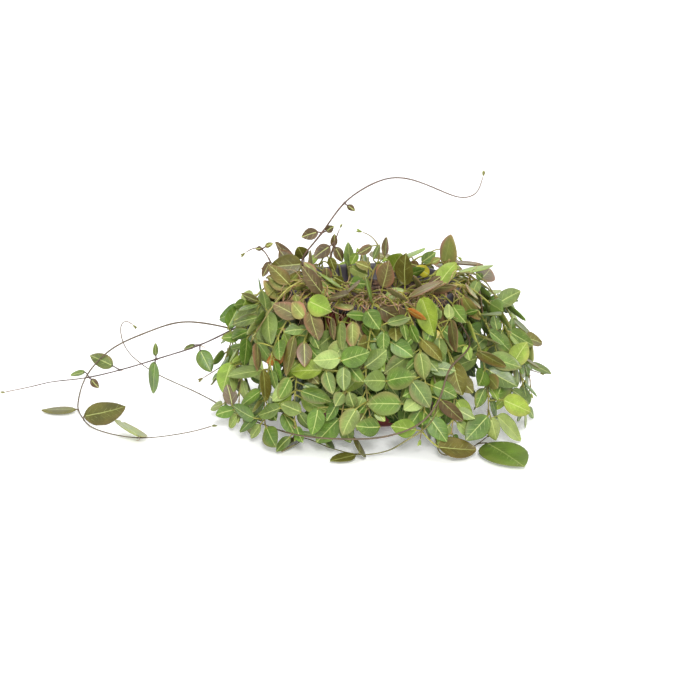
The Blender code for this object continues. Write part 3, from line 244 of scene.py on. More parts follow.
# Leaves of the front of the curtain, read from left to right.
CURTAIN_LEAVES = [
    leaf((228, 327), (240, 304), 16, "green"),
    leaf((234, 320), (257, 310), 13, "grey", out=2),
    leaf((249, 331), (232, 340), 12, "green"),
    leaf((246, 345), (231, 350), 6, "grey"),
    leaf((247, 338), (245, 366), 11, "green"),
    leaf((257, 343), (259, 371), 6, "mauve"),
    leaf((231, 363), (222, 393), 20, "lime", out=2),
    leaf((234, 366), (235, 392), 7, "pale", out=5),
    leaf((232, 405), (228, 389), 14, "bronze", out=4),
    leaf((254, 418), (232, 406), 12, "green", out=2),
    leaf((263, 370), (266, 402), 9, "olive"),
    leaf((266, 309), (263, 290), 10, "grey", out=-6),
    leaf((268, 312), (270, 344), 15, "grey", out=2),
    leaf((285, 355), (265, 362), 14, "orange"),
    leaf((298, 317), (273, 303), 18, "mauve", out=-5),
    leaf((304, 317), (291, 302), 15, "pink", out=2),
    leaf((309, 301), (334, 313), 22, "lime", out=4),
    leaf((310, 312), (319, 340), 17, "mauve", out=4),
    leaf((294, 336), (285, 376), 8, "olive", out=3),
    leaf((304, 342), (305, 367), 15, "mauve"),
    leaf((323, 370), (290, 371), 18, "lime", out=5),
    leaf((290, 378), (278, 399), 13, "green"),
    leaf((301, 412), (280, 403), 15, "grey"),
    leaf((280, 408), (258, 415), 13, "grey"),
    leaf((283, 413), (295, 435), 14, "green", out=-4),
    leaf((318, 408), (312, 435), 17, "green"),
    leaf((301, 391), (331, 401), 14, "green", out=3),
    leaf((337, 403), (326, 421), 10, "green"),
    leaf((326, 371), (333, 394), 13, "grey", out=2),
    leaf((331, 318), (333, 340), 5, "mauve", out=-6),
    leaf((340, 322), (341, 350), 8, "grey"),
    leaf((353, 322), (353, 348), 14, "pink", out=2),
    leaf((340, 358), (317, 360), 18, "pale", out=6),
    leaf((341, 361), (369, 352), 21, "green", out=5),
    leaf((344, 367), (344, 391), 14, "grey"),
    leaf((354, 407), (349, 392), 12, "grey", out=-4),
    leaf((356, 409), (342, 436), 18, "grey", out=4),
    leaf((380, 427), (357, 426), 18, "green"),
    leaf((365, 367), (385, 351), 19, "grey", out=3),
    leaf((367, 311), (381, 331), 18, "green"),
    leaf((362, 324), (374, 337), 9, "green", out=-7),
    leaf((384, 331), (384, 352), 13, "green"),
    leaf((386, 381), (365, 381), 20, "grey", out=4),
    leaf((387, 381), (413, 377), 22, "green", out=5),
    leaf((401, 404), (366, 404), 23, "green", out=6),
    leaf((389, 319), (398, 303), 12, "green", out=-4),
    leaf((387, 323), (411, 316), 8, "grey", out=3),
    leaf((395, 327), (396, 343), 14, "olive", out=-3),
    leaf((403, 322), (407, 340), 7, "green"),
    leaf((410, 325), (418, 343), 9, "green"),
    leaf((391, 342), (413, 357), 17, "green", out=3),
    leaf((412, 381), (430, 408), 19, "grey", out=2),
    leaf((416, 430), (390, 426), 18, "lime", out=2),
    leaf((407, 309), (426, 321), 5, "orange", out=4),
    leaf((422, 298), (433, 336), 20, "lime", out=5),
    leaf((443, 344), (425, 330), 14, "yellow", out=-2),
    leaf((420, 352), (424, 380), 16, "grey"),
    leaf((439, 338), (440, 364), 14, "grey", out=-3),
    leaf((435, 396), (435, 366), 21, "olive", out=6),
    leaf((440, 401), (447, 439), 18, "olive", out=7),
    leaf((441, 400), (463, 422), 12, "bronze"),
    leaf((438, 447), (477, 449), 19, "olive"),
    leaf((424, 431), (435, 456), 15, "lime", out=6),
    leaf((449, 319), (449, 303), 10, "pale"),
    leaf((453, 306), (466, 323), 15, "green", out=-7),
    leaf((451, 320), (455, 352), 7, "mauve", out=3),
    leaf((466, 341), (464, 320), 7, "green"),
    leaf((466, 345), (470, 361), 10, "lime"),
    leaf((453, 361), (473, 390), 20, "olive", out=4),
    leaf((463, 297), (480, 320), 11, "pink"),
    leaf((478, 360), (505, 378), 18, "green", out=-3),
    leaf((478, 351), (506, 368), 9, "olive", out=6),
    leaf((478, 390), (500, 370), 22, "grey", out=5),
    leaf((488, 416), (466, 440), 22, "green", out=4),
    leaf((491, 418), (497, 441), 14, "pale", out=5),
    leaf((497, 416), (522, 441), 13, "pale"),
    leaf((497, 398), (508, 369), 20, "green", out=-3),
    leaf((489, 331), (505, 344), 9, "green"),
    leaf((497, 330), (494, 315), 10, "grey", out=-3),
    leaf((513, 365), (526, 344), 20, "lime"),
    leaf((503, 400), (531, 412), 20, "lime"),
]

# Vines followed one by one: each has its route from the pot outward, then its own leaves.
SEEN_VINES = {
    "tendril_high": (
        [
            plane(312, 275, -14),
            plane(300, 264, -10),
            plane(322, 233, -8),
            plane(344, 203, -6),
            plane(366, 187, -4),
            plane(388, 178, -2),
            plane(406, 178, 0),
            plane(425, 184, 2),
            plane(446, 193, 2),
            plane(459, 198, 0),
            plane(470, 198, -2),
            plane(478, 193, -4),
            plane(483, 176, -6),
        ],
        [
            leaf((302, 264), (270, 267), 22, "olive", back=-16),
            leaf((304, 259), (298, 247), 15, "olive", back=2),
            leaf((318, 232), (302, 237), 12, "bronze", back=-8),
            leaf((326, 231), (334, 226), 8, "bronze", back=-8),
            leaf((346, 205), (354, 211), 6, "bronze", back=-6),
        ],
    ),
    "shoot_left": (
        [
            plane(281, 276, 6),
            plane(271, 263, 4),
            plane(263, 248, 2),
            plane(254, 246, 0),
            plane(245, 253, -2),
        ],
        [
            leaf((270, 262), (262, 277), 7, "bronze", back=0),
            leaf((262, 248), (256, 249), 4, "bronze", back=2),
            leaf((265, 247), (273, 243), 5, "olive", back=2),
        ],
    ),
    "shoot_brown": (
        [
            plane(331, 268, 10),
            plane(331, 256, 12),
            plane(333, 246, 12),
            plane(340, 228, 12),
        ],
        [
            leaf((330, 246), (315, 257), 14, "bronze", back=6),
            leaf((334, 247), (335, 234), 7, "bronze", back=14),
            leaf((335, 247), (343, 262), 10, "bronze", back=8),
            leaf((330, 257), (335, 271), 9, "olive", back=4),
        ],
    ),
    "arch_middle": (
        [
            plane(378, 264, 24),
            plane(380, 249, 24),
            plane(375, 239, 24),
            plane(368, 233, 24),
            plane(362, 232, 24),
        ],
        [
            leaf((372, 246), (357, 254), 9, "mauve", back=28),
            leaf((373, 259), (379, 244), 6, "grey", back=16),
            leaf((385, 256), (386, 237), 6, "mauve", back=22),
        ],
    ),
    "arch_right": (
        [
            plane(424, 276, 14),
            plane(421, 262, 22),
            plane(433, 249, 24),
            plane(439, 247, 24),
            plane(449, 251, 24),
            plane(458, 257, 24),
        ],
        [
            leaf((422, 262), (436, 252), 12, "grey", back=18),
            leaf((431, 263), (441, 258), 8, "pink", back=16),
            leaf((429, 275), (416, 266), 12, "yellow", back=4),
            leaf((419, 266), (408, 263), 9, "bronze", back=19),
        ],
    ),
    "right_vine": (
        [
            plane(457, 273, -16),
            plane(479, 275, -16),
            plane(487, 283, -16),
            plane(496, 298, -18),
            plane(503, 314, -20),
            plane(504, 330, -22),
            plane(510, 344, -26),
        ],
        [
            leaf((482, 279), (476, 273), 8, "green", back=-18),
            leaf((478, 280), (471, 297), 11, "pale", back=-18),
            leaf((501, 316), (491, 301), 8, "green", back=-22),
            leaf((502, 314), (500, 297), 9, "grey", back=-16),
            leaf((510, 341), (513, 317), 7, "green", back=-24),
            leaf((511, 345), (519, 337), 7, "lime", back=-30),
        ],
    ),
    "right_stub": (
        [
            plane(492, 335, -2),
            plane(508, 355, -2),
            plane(520, 366, -2),
            plane(540, 373, -2),
        ],
        [],
    ),
    "runner_loop": (
        [
            plane(248, 333, -16),
            plane(236, 330, -14),
            plane(210, 324, -6),
            plane(180, 322, 4),
            plane(145, 333, 12),
            plane(110, 350, 18),
            plane(85, 378, 22),
            ground(78, 402, 4),
            ground(82, 417, 3),
            ground(95, 429, 3),
            ground(139, 438, 3),
            ground(190, 432, 3),
            ground(212, 426, 3),
        ],
        [
            leaf((76, 409), (41, 408), 5, "olive", up=3),
            leaf((84, 416), (126, 412), 24, "olive", up=7),
            leaf((138, 436), (123, 420), 4, "pale", up=6),
        ],
    ),
    "runner_left": (
        [
            plane(252, 318, 2),
            plane(235, 328, 3),
            plane(200, 345, 10),
            plane(160, 358, 20),
            plane(120, 370, 30),
            plane(85, 378, 40),
            plane(50, 382, 46),
            ground(34, 386, 4),
            ground(5, 392, 3),
        ],
        [
            leaf((200, 350), (210, 370), 17, "green", back=4),
            leaf((195, 345), (184, 350), 5, "grey", back=16),
            leaf((155, 357), (155, 344), 5, "grey", back=22),
            leaf((155, 362), (152, 394), 9, "green", back=14),
            leaf((113, 366), (90, 355), 15, "grey", back=26),
            leaf((91, 379), (99, 388), 8, "bronze", back=36),
            leaf((85, 372), (70, 375), 4, "grey", back=44),
        ],
    ),
    "runner_hook": (
        [
            skin(470, 340, -8),
            skin(466, 352, 2),
            skin(449, 369, 8),
            skin(439, 401, 11),
            skin(420, 424, 11),
            skin(384, 437, 8),
            skin(338, 439, 8),
            skin(303, 436, 10),
            ground(257, 422, 8),
            ground(237, 414, 8),
            plane(200, 394, 5),
            plane(150, 370, 36),
            plane(128, 352, 36),
            plane(121, 337, 34),
            plane(121, 320, 34),
            plane(127, 318, 34),
            plane(133, 325, 34),
        ],
        [],
    ),
    "runner_front": (
        [
            skin(438, 398, -12),
            skin(430, 424, 2),
            skin(407, 440, 14),
            ground(384, 452, 4),
            ground(361, 455, 3),
            ground(328, 447, 3),
            ground(306, 438, 3),
            ground(297, 437, 3),
        ],
        [
            leaf((355, 455), (330, 460), 5, "olive", up=4),
            leaf((360, 452), (360, 440), 8, "olive", up=5),
            leaf((297, 438), (281, 450), 4, "olive", up=4),
            leaf((391, 450), (399, 469), 9, "lime", up=4),
            leaf((322, 443), (331, 454), 8, "green", up=3),
            leaf((326, 443), (326, 429), 13, "grey", up=6),
            leaf((415, 448), (438, 468), 11, "grey", up=6),
        ],
    ),
    "stem_lower_right": (
        [
            skin(436, 440, -10),
            skin(440, 455, 4),
            ground(462, 452, 4),
            ground(482, 441, 4),
            ground(487, 437, 5),
        ],
        [
            leaf((487, 443), (524, 464), 21, "green", up=7),
        ],
    ),
    "stem_yellow": (
        [
            plane(325, 276, -36),
            plane(304, 280, -42),
            plane(287, 289, -50),
            skin(269, 312, 5),
            skin(256, 333, 5),
        ],
        [],
    ),
    "stub_left": (
        [
            plane(252, 340, 4),
            plane(240, 353, 4),
            plane(222, 366, 4),
            plane(203, 378, 4),
        ],
        [],
    ),
    "sprig_pink": (
        [
            plane(296, 284, -30),
            plane(289, 288, -32),
            plane(280, 297, -34),
        ],
        [
            leaf((289, 287), (267, 276), 15, "pink", back=-30),
            leaf((279, 298), (264, 280), 13, "pink", back=-24),
            leaf((287, 285), (300, 271), 10, "pink", back=-26),
        ],
    ),
    "sprig_lime": (
        [
            plane(340, 286, -50),
            plane(334, 287, -50),
            plane(326, 283, -44),
            plane(316, 275, -38),
        ],
        [
            leaf((334, 287), (317, 290), 14, "pale", back=-56),
            leaf((325, 285), (325, 272), 11, "mauve", back=-42),
            leaf((317, 276), (307, 291), 12, "lime", back=-44),
            leaf((316, 274), (304, 262), 9, "pink", back=-32),
        ],
    ),
    "sprig_grey": (
        [
            plane(351, 272, 2),
            plane(350, 264, 4),
            plane(356, 253, 8),
        ],
        [
            leaf((350, 266), (349, 242), 9, "grey", back=12),
            leaf((350, 267), (368, 276), 12, "pale", back=-10),
            leaf((357, 253), (351, 265), 9, "lime", back=4),
        ],
    ),
    "sprig_large": (
        [
            plane(393, 282, 10),
            plane(391, 272, 12),
            plane(398, 270, 20),
        ],
        [
            leaf((391, 272), (402, 253), 20, "lime", back=24),
            leaf((399, 277), (401, 261), 10, "bronze", back=2),
        ],
    ),
    "sprig_pink_edge": (
        [
            plane(372, 276, -20),
            plane(376, 266, -24),
            plane(382, 262, -24),
        ],
        [
            leaf((382, 263), (386, 288), 15, "pink", back=-32),
            leaf((370, 268), (355, 262), 9, "olive", back=-20),
        ],
    ),
    "sprig_green": (
        [
            plane(386, 284, -18),
            plane(393, 280, -22),
            plane(399, 275, -30),
        ],
        [
            leaf((394, 280), (424, 271), 11, "green", back=-24),
            leaf((399, 275), (404, 262), 8, "olive", back=-34),
        ],
    ),
    "sprig_right": (
        [
            plane(446, 283, -12),
            plane(450, 278, -10),
            plane(456, 270, -4),
        ],
        [
            leaf((450, 278), (449, 258), 15, "pink", back=-6),
            leaf((455, 271), (442, 262), 8, "olive", back=6),
        ],
    ),
    "sprig_mauve": (
        [
            plane(414, 286, -44),
            plane(423, 288, -50),
            plane(430, 284, -50),
        ],
        [
            leaf((424, 289), (457, 287), 8, "mauve", back=-54),
            leaf((429, 284), (441, 276), 7, "bronze", back=-46),
        ],
    ),
    "sprig_pale": (
        [
            plane(378, 292, -54),
            plane(385, 296, -60),
        ],
        [
            leaf((386, 296), (405, 290), 12, "pale", back=-64),
        ],
    ),
    "sprig_small": (
        [
            plane(342, 284, -26),
            plane(348, 283, -32),
        ],
        [
            leaf((349, 283), (366, 284), 14, "green", back=-36),
            leaf((344, 284), (335, 279), 8, "olive", back=-30),
        ],
    ),
}


def sight(across, down):
    """Direction of the line of sight through one pixel."""
    focal = VIEW_DISTANCE / PIXEL
    side = (across - HALF_FRAME) / focal
    rise = (HALF_FRAME - down) / focal
    return VIEW_AHEAD + side * VIEW_RIGHT + rise * VIEW_UP


def skin_radius(height):
    return float(np.interp(height, SKIN_HEIGHTS, SKIN_RADII))


def placed(seen):
    """The point in space of one seen place."""
    line = sight(seen.across, seen.down)
    if seen.where == "plane":
        return EYE + line * ((seen.amount * MM - EYE.y) / line.y)
    floor_reach = (seen.amount * MM - EYE.z) / line.z
    if seen.where == "ground":
        return EYE + line * floor_reach
    floor_reach = (4 * MM - EYE.z) / line.z
    best_gap, best_point = 1.0, None
    for step in range(420):
        reach = VIEW_DISTANCE - 0.22 + step * MM
        if reach >= floor_reach:
            break
        point = EYE + line * reach
        gap = math.hypot(point.x, point.y) - skin_radius(point.z) - seen.amount * MM
        if gap < best_gap:
            best_gap, best_point = gap, point
        if gap <= 0:
            break
    if best_gap > 25 * MM:
        return EYE + line * floor_reach
    return best_point


def lying_leaf(seen, draw):
    """A seen leaf in space: base, direction, normal and size that give its outline in the view."""
    base = placed(Seen(*seen.base, seen.where, seen.amount))
    tip = placed(Seen(*seen.tip, seen.where, seen.amount))
    toward_eye = (EYE - base).normalized()
    if seen.where == "skin":
        reach = (tip - base)
        most = 14 * MM
        depth = max(-most, min(most, reach.dot(toward_eye)))
        tip = base + reach - toward_eye * (reach.dot(toward_eye) - depth)
    wide = max(seen.wide, 5) * PIXEL
    length = max((tip - base).length, min(wide / 0.68, LONGEST_LEAF))
    hidden = math.sqrt(max(0.0, length ** 2 - (tip - base).length_squared))
    tip = tip + toward_eye * hidden * (1 if tip.z > 12 * MM else 0.2)
    along = (tip - base).normalized()
    normal = (toward_eye - along * toward_eye.dot(along)).normalized()
    width = max(LEAF_SHAPE * length, wide)
    roll = math.acos(min(1.0, wide / width)) * draw.choice((-0.9, 0.9))
    if seen.where == "ground" and seen.amount > 3:
        roll = roll * 0.9
    normal = Matrix.Rotation(roll, 3, along) @ normal
    return Leaf(None, base, along, normal, length, width, seen.tone, 0.04)


def leaf_outline(share):
    """Half width of a blade, as a share of its greatest half width, from base to tip."""
    return 2.72 * share ** 0.62 * (1 - share) ** 0.85


def blade_point(leaf_, share, side, below=0.0):
    """A point of a blade: share of its length, side from -1 to 1 and depth below its upper face."""
    across = leaf_.along.cross(leaf_.normal)
    half = 0.5 * leaf_.width * leaf_outline(share)
    sag = leaf_.droop * leaf_.length * share ** 2
    point = leaf_.base + leaf_.along * leaf_.length * share
    return point + across * half * side - leaf_.normal * (sag + below)


def wall_radius(height):
    """Outer radius of the pot's plain wall at a height."""
    top = RIM_RADIUS - RIM_ROLL - 0.7 * MM
    return BASE_RADIUS + (top - BASE_RADIUS) * height / (POT_HEIGHT - RIM_DEPTH)


def pot_profile():
    """Half section of the pot, from the middle of its base round to the middle of its floor."""
    under_rim = POT_HEIGHT - RIM_DEPTH
    mouth = wall_radius(POT_HEIGHT - 1.5 * MM) - WALL
    return [
        (0, 0),
        (BASE_RADIUS - 2 * MM, 0),
        (BASE_RADIUS, 2 * MM),
        (wall_radius(under_rim), under_rim),
        (RIM_RADIUS - 0.7 * MM, under_rim - 0.3 * MM),
        (RIM_RADIUS, under_rim + 0.6 * MM),
        (RIM_RADIUS, POT_HEIGHT - 1.6 * MM),
        (RIM_RADIUS - 1.4 * MM, POT_HEIGHT),
        (mouth + 1.0 * MM, POT_HEIGHT),
        (mouth, POT_HEIGHT - 1.5 * MM),
        (wall_radius(2 * MM) - WALL, 2 * MM),
        (0, 1.8 * MM),
    ]


def turned(profile, sides):
    """Points and faces of a profile turned about the upright axis; it starts and ends on it."""
    points = [Vector((0, 0, profile[0][1]))]
    for radius, height in profile[1:-1]:
        for index in range(sides):
            turn = 2 * math.pi * index / sides
            points.append(Vector((radius * math.cos(turn), radius * math.sin(turn), height)))
    points.append(Vector((0, 0, profile[-1][1])))
    last = len(points) - 1
    faces = []
    for index in range(sides):
        other = (index + 1) % sides
        faces.append((0, 1 + other, 1 + index))
        for level in range(len(profile) - 3):
            low = 1 + level * sides
            high = low + sides
            faces.append((low + index, low + other, high + other, high + index))
        low = 1 + (len(profile) - 3) * sides
        faces.append((low + index, low + other, last))
    return points, faces


def pot_test_shapes():
    """The pot and a disc just above the medium, as shapes that leaves keep clear of."""
    height = MEDIUM_TOP + 2.5 * MM
    edge = wall_radius(height) - WALL - 1 * MM
    disc = [(0, height - 1 * MM), (edge, height - 1 * MM), (edge, height), (0, height)]
    return [turned(pot_profile(), POT_SIDES), turned(disc, MEDIUM_SIDES)]


def clump_places():
    """Centres of the holes that the stems stand in."""
    places = []
    for ring, (radius, count) in enumerate(CLUMP_RINGS):
        for index in range(count):
            turn = 2 * math.pi * (index + 0.5 * ring) / count
            places.append(Vector((radius * math.cos(turn), radius * math.sin(turn), 0)))
    return places


class Clumps:
    """Gives each stem a free place in the hole nearest to where it leaves the pot."""

    def __init__(self):
        self.centres = clump_places()
        self.taken = [0] * len(self.centres)

    def root(self, toward):
        def cost(index):
            centre = self.centres[index]
            full = 1.0 if self.taken[index] >= STEMS_IN_CLUMP else 0.0
            crowd = 4 * MM * self.taken[index]
            return (centre - Vector((toward.x, toward.y, 0))).length + crowd + full

        index = min(range(len(self.centres)), key=cost)
        centre = self.centres[index]
        turn = math.atan2(centre.y, centre.x) + math.pi / 4
        turn += self.taken[index] * 2 * math.pi / STEMS_IN_CLUMP
        self.taken[index] += 1
        return centre + STEM_SPREAD * Vector((math.cos(turn), math.sin(turn), 0))


def root_stretch(root):
    """The upright part of a stem, from inside its hole to just above the medium."""
    heights = (MEDIUM_TOP - HOLE_DEPTH + MEDIUM_GAP, MEDIUM_TOP - 3 * MM, MEDIUM_TOP + 4 * MM)
    return [Vector((root.x, root.y, height)) for height in heights]


def over_rim(first):
    """A point above the rim, on the way to the first place outside the pot."""
    turn = math.atan2(first.y, first.x)
    reach = RIM_RADIUS + 1 * MM
    return Vector((reach * math.cos(turn), reach * math.sin(turn), POT_HEIGHT + 6 * MM))


def seen_route(places, clumps):
    """A whole listed route, with the stretch from its hole up and over the rim."""
    points = [placed(place) for place in places]
    first = points[0]
    outside = math.hypot(first.x, first.y) > RIM_RADIUS
    edge = over_rim(first)
    root = clumps.root(edge if outside else first)
    route = root_stretch(root)
    if outside:
        route.append(edge)
        if first.z < 70 * MM:
            turn = math.atan2(first.y, first.x)
            reach = min(0.55 * RIM_RADIUS + 0.5 * first.xy.length, first.xy.length - 8 * MM)
            half = Vector((reach * math.cos(turn), reach * math.sin(turn), 0))
            half.z = 0.5 * (first.z + POT_HEIGHT)
            route.append(half)
    return route + points


def hanging_route(turn, inset, end, clumps, draw):
    """A vine that leaves the pot over its rim and hangs down inside the foliage's skin."""
    out = Vector((math.cos(turn), math.sin(turn), 0))
    edge = (RIM_RADIUS + 2 * MM) * out
    root = clumps.root(edge)
    route = root_stretch(root)
    route.append(edge + Vector((0, 0, POT_HEIGHT + (5 + draw.uniform(0, 6)) * MM)))
    swing = draw.uniform(-6, 6) * MM
    side = Vector((-out.y, out.x, 0))
    height = POT_HEIGHT - 8 * MM
    while height > end:
        reach = max(skin_radius(height) - inset, RIM_RADIUS + 9 * MM)
        sway = swing * math.sin((POT_HEIGHT - height) / (28 * MM))
        route.append(reach * out + sway * side + Vector((0, 0, height)))
        height -= 18 * MM
    return route


def curve_point(four, knots, t):
    """One point of the curve between the two middle ones of four points."""
    level = list(four)
    for order in (1, 2, 3):
        for index in range(4 - order):
            low, high = knots[index], knots[index + order]
            if order == 2:
                low, high = knots[index], knots[index + 2]
            if order == 3:
                low, high = knots[1], knots[2]
            share = (t - low) / (high - low)
            level[index] = level[index].lerp(level[index + 1], share)
    return level[0]


def smooth(points, step=4 * MM):
    """Points a few millimetres apart along a curve through the given points."""
    ends = [2 * points[0] - points[1]] + list(points) + [2 * points[-1] - points[-2]]
    dense = [points[0].copy()]
    for four in zip(ends, ends[1:], ends[2:], ends[3:]):
        knots = [0.0]
        for start, stop in zip(four, four[1:]):
            knots.append(knots[-1] + max((stop - start).length, 1e-5) ** 0.5)
        count = max(1, round((four[2] - four[1]).length / step))
        for index in range(1, count + 1):
            t = knots[1] + (knots[2] - knots[1]) * index / count
            dense.append(curve_point(four, knots, t))
    return dense


def pot_clear(point):
    """Moves one stem point clear of the pot, the medium and the surface below."""
    reach = math.hypot(point[0], point[1])
    top = POT_HEIGHT + 4 * MM
    inner, outer = RIM_RADIUS - 8 * MM, RIM_RADIUS + 7 * MM
    if point[2] < top and reach < outer:
        if reach > inner:
            if reach > RIM_RADIUS and point[2] < POT_HEIGHT - 6 * MM:
                point[:2] *= outer / reach
            else:
                point[2] = top
        elif point[2] < MEDIUM_TOP + 4 * MM:
            point[2] = MEDIUM_TOP + 4 * MM
    point[2] = max(point[2], 2.4 * MM)


def spread_routes(routes):
    """Pushes the stems apart until each stands clear of the others and of the pot."""
    dense = [np.array([list(point) for point in route]) for route in routes]
    owner = np.concatenate([np.full(len(route), i) for i, route in enumerate(dense)])
    rank = np.concatenate([np.arange(len(route)) for route in dense])
    points = np.concatenate(dense)
    home = points.copy()
    free = rank > 4
    ends = np.concatenate([rank[1:] == 0, [True]])
    middle = free & ~ends
    for turn in range(90):
        if turn < 60:
            mean = 0.5 * (np.roll(points, 1, 0) + np.roll(points, -1, 0))
            points[middle] += 0.25 * (mean - points)[middle]
            points[free] += 0.12 * (home - points)[free]
        tree = KDTree(len(points))
        for index, point in enumerate(points):
            tree.insert(point, index)
        tree.balance()
        push = np.zeros_like(points)
        for index in np.flatnonzero(free):
            for near, other, gap in tree.find_range(points[index], STEM_GAP):
                if owner[other] == owner[index]:
                    continue
                away = points[index] - points[other]
                away = away / max(gap, 1e-6)
                push[index] += away * (STEM_GAP - gap) * (0.6 if free[other] else 1.1)
        points += push
        for index in np.flatnonzero(free):
            pot_clear(points[index])
    for turn in range(40):
        if not part_crossings(points, owner, free):
            break
        for index in np.flatnonzero(free):
            pot_clear(points[index])
    return [[Vector(p) for p in points[owner == i]] for i in range(len(routes))]


def nearest_shares(first, second):
    """How far along two straight stretches their nearest points lie."""
    u, v, w = first[1] - first[0], second[1] - second[0], first[0] - second[0]
    a, b, c, d, e = u @ u, u @ v, v @ v, u @ w, v @ w
    spread = max(a * c - b * b, 1e-14)
    s = min(max((b * e - c * d) / spread, 0.0), 1.0)
    t = min(max((b * s + e) / max(c, 1e-12), 0.0), 1.0)
    s = min(max((b * t - d) / max(a, 1e-12), 0.0), 1.0)
    return s, t


def part_crossings(points, owner, free):
    """Moves stretches of different stems apart where they come too near; counts them."""
    linked = np.flatnonzero(owner[1:] == owner[:-1])
    middles = 0.5 * (points[linked] + points[linked + 1])
    tree = KDTree(len(linked))
    for index, middle in enumerate(middles):
        tree.insert(middle, index)
    tree.balance()
    found = 0
    for index, low in enumerate(linked):
        for near, other, gap in tree.find_range(middles[index], CROSSING_GAP + 4 * MM):
            high = linked[other]
            if other <= index or owner[high] == owner[low]:
                continue
            first, second = points[[low, low + 1]], points[[high, high + 1]]
            s, t = nearest_shares(first, second)
            away = first[0] + s * (first[1] - first[0]) - second[0] - t * (second[1] - second[0])
            gap = float(np.linalg.norm(away))
            if gap >= CROSSING_GAP or not (free[low] or free[high]):
                continue
            found += 1
            if gap < 0.3 * MM:
                away = np.cross(first[1] - first[0], second[1] - second[0])
            away = away / max(np.linalg.norm(away), 1e-9) * 0.55 * (CROSSING_GAP - gap)
            for at, sign in ((low, 1), (low + 1, 1), (high, -1), (high + 1, -1)):
                if free[at]:
                    points[at] += sign * away
    return found


def lengths_along(route):
    """Distance along the route to each of its points."""
    run = [0.0]
    for start, stop in zip(route, route[1:]):
        run.append(run[-1] + (stop - start).length)
    return run


def point_at(route, run, distance):
    """The point of the route at this distance along it."""
    index = min(max(bisect.bisect_right(run, distance) - 1, 0), len(route) - 2)
    share = (distance - run[index]) / max(run[index + 1] - run[index], 1e-9)
    return route[index].lerp(route[index + 1], min(max(share, 0.0), 1.0))


def nearest_on(route, run, point):
    """Distance along the route of its point nearest to the given one, and the gap."""
    index = min(range(len(route)), key=lambda i: (route[i] - point).length_squared)
    return run[index], (route[index] - point).length


class Obstacles:
    """All shapes placed so far, for testing that a new leaf stands clear."""

    def __init__(self):
        self.trees = []
        self.labels = []
        self.balls = np.zeros((6000, 4))

    def add(self, points, faces, label):
        self.balls[len(self.trees)] = ball_round(points)
        self.trees.append(BVHTree.FromPolygons(points, faces))
        self.labels.append(label)

    def clear(self, points, faces, skipped=()):
        """True where the shape touches nothing but what carries one of the skipped labels."""
        ball = ball_round(points)
        placed_balls = self.balls[: len(self.trees)]
        gaps = np.linalg.norm(placed_balls[:, :3] - ball[:3], axis=1)
        near = np.flatnonzero(gaps <= placed_balls[:, 3] + ball[3])
        tree = None
        for index in near:
            if self.labels[index] in skipped:
                continue
            tree = tree or BVHTree.FromPolygons(points, faces)
            if tree.overlap(self.trees[index]):
                return False
        return True


def ball_round(points):
    """Middle and radius of a ball that holds all the points."""
    corners = np.array([tuple(point) for point in points])
    middle = corners.mean(axis=0)
    reach = np.linalg.norm(corners - middle, axis=1).max()
    return [*middle, reach]


def tube(rings):
    """Points and triangles of a closed tube through rings with equally many points."""
    points = [point for ring in rings for point in ring]
    count = len(rings[0])
    faces = [tuple(reversed(range(count)))]
    for level in range(len(rings) - 1):
        low, high = level * count, (level + 1) * count
        for index in range(count):
            other = (index + 1) % count
            faces.append((low + index, low + other, high + other))
            faces.append((low + index, high + other, high + index))
    last = (len(rings) - 1) * count
    faces.append(tuple(range(last, last + count)))
    return points, faces


def section_shares(leaf_):
    """Where along a blade its sections lie: a small leaf has fewer."""
    return SMALL_BLADE_SHARES if leaf_.length < SMALL_BLADE else BLADE_SHARES


def blade_ring(leaf_, share):
    """The three corners of a blade's section: left edge, right edge and the rib below."""
    if share == 0.0:
        across = leaf_.along.cross(leaf_.normal) * BASE_WIDTH / 2
        return [leaf_.base - across, leaf_.base + across,
                leaf_.base - leaf_.normal * BASE_WIDTH * 0.8]
    thick = LEAF_THICK * min(1.0, 2.2 * (1 - share) + 0.35)
    return [
        blade_point(leaf_, share, -1),
        blade_point(leaf_, share, 1),
        blade_point(leaf_, share, 0, thick),
    ]


def blade_test_shape(leaf_, grow):
    """A slightly enlarged blade, as a closed tube, for testing clearance."""
    rings = []
    across = leaf_.along.cross(leaf_.normal)
    for share in (0.04, 0.2, 0.5, 0.8, 0.97):
        left = blade_point(leaf_, share, -1) - across * grow
        right = blade_point(leaf_, share, 1) + across * grow
        lift = leaf_.normal * grow
        rib = blade_point(leaf_, share, 0, LEAF_THICK + grow)
        rings.append([left + lift, left - lift, rib, right - lift, right + lift])
    return tube(rings)


def twig_shape(start, stop, radius=0.9 * MM):
    """A thin closed tube from a stem to a blade's base."""
    ahead = (stop - start).normalized()
    side = ahead.orthogonal().normalized()
    other = ahead.cross(side)
    rings = []
    for centre in (start, stop):
        ring = []
        for index in range(4):
            turn = math.pi / 2 * index
            ring.append(centre + radius * (math.cos(turn) * side + math.sin(turn) * other))
        rings.append(ring)
    return tube(rings)


def fits(obstacles, leaf_, vine_label, node_label):
    """True where the blade and its twig stand clear of everything placed so far."""
    points, faces = blade_test_shape(leaf_, CLEARANCE)
    if min(point.z for point in points) < 0.5 * MM:
        return False
    if not obstacles.clear(points, faces):
        return False
    twig = leaf_.base - leaf_.root
    start = leaf_.root + twig.normalized() * min(3.4 * MM, 0.8 * twig.length)
    points, faces = twig_shape(start, leaf_.base, 1.4 * MM)
    if not obstacles.clear(points, faces, (node_label,)):
        return False
    points, faces = twig_shape(leaf_.root, start, 2.3 * MM)
    return obstacles.clear(points, faces, (vine_label, node_label))


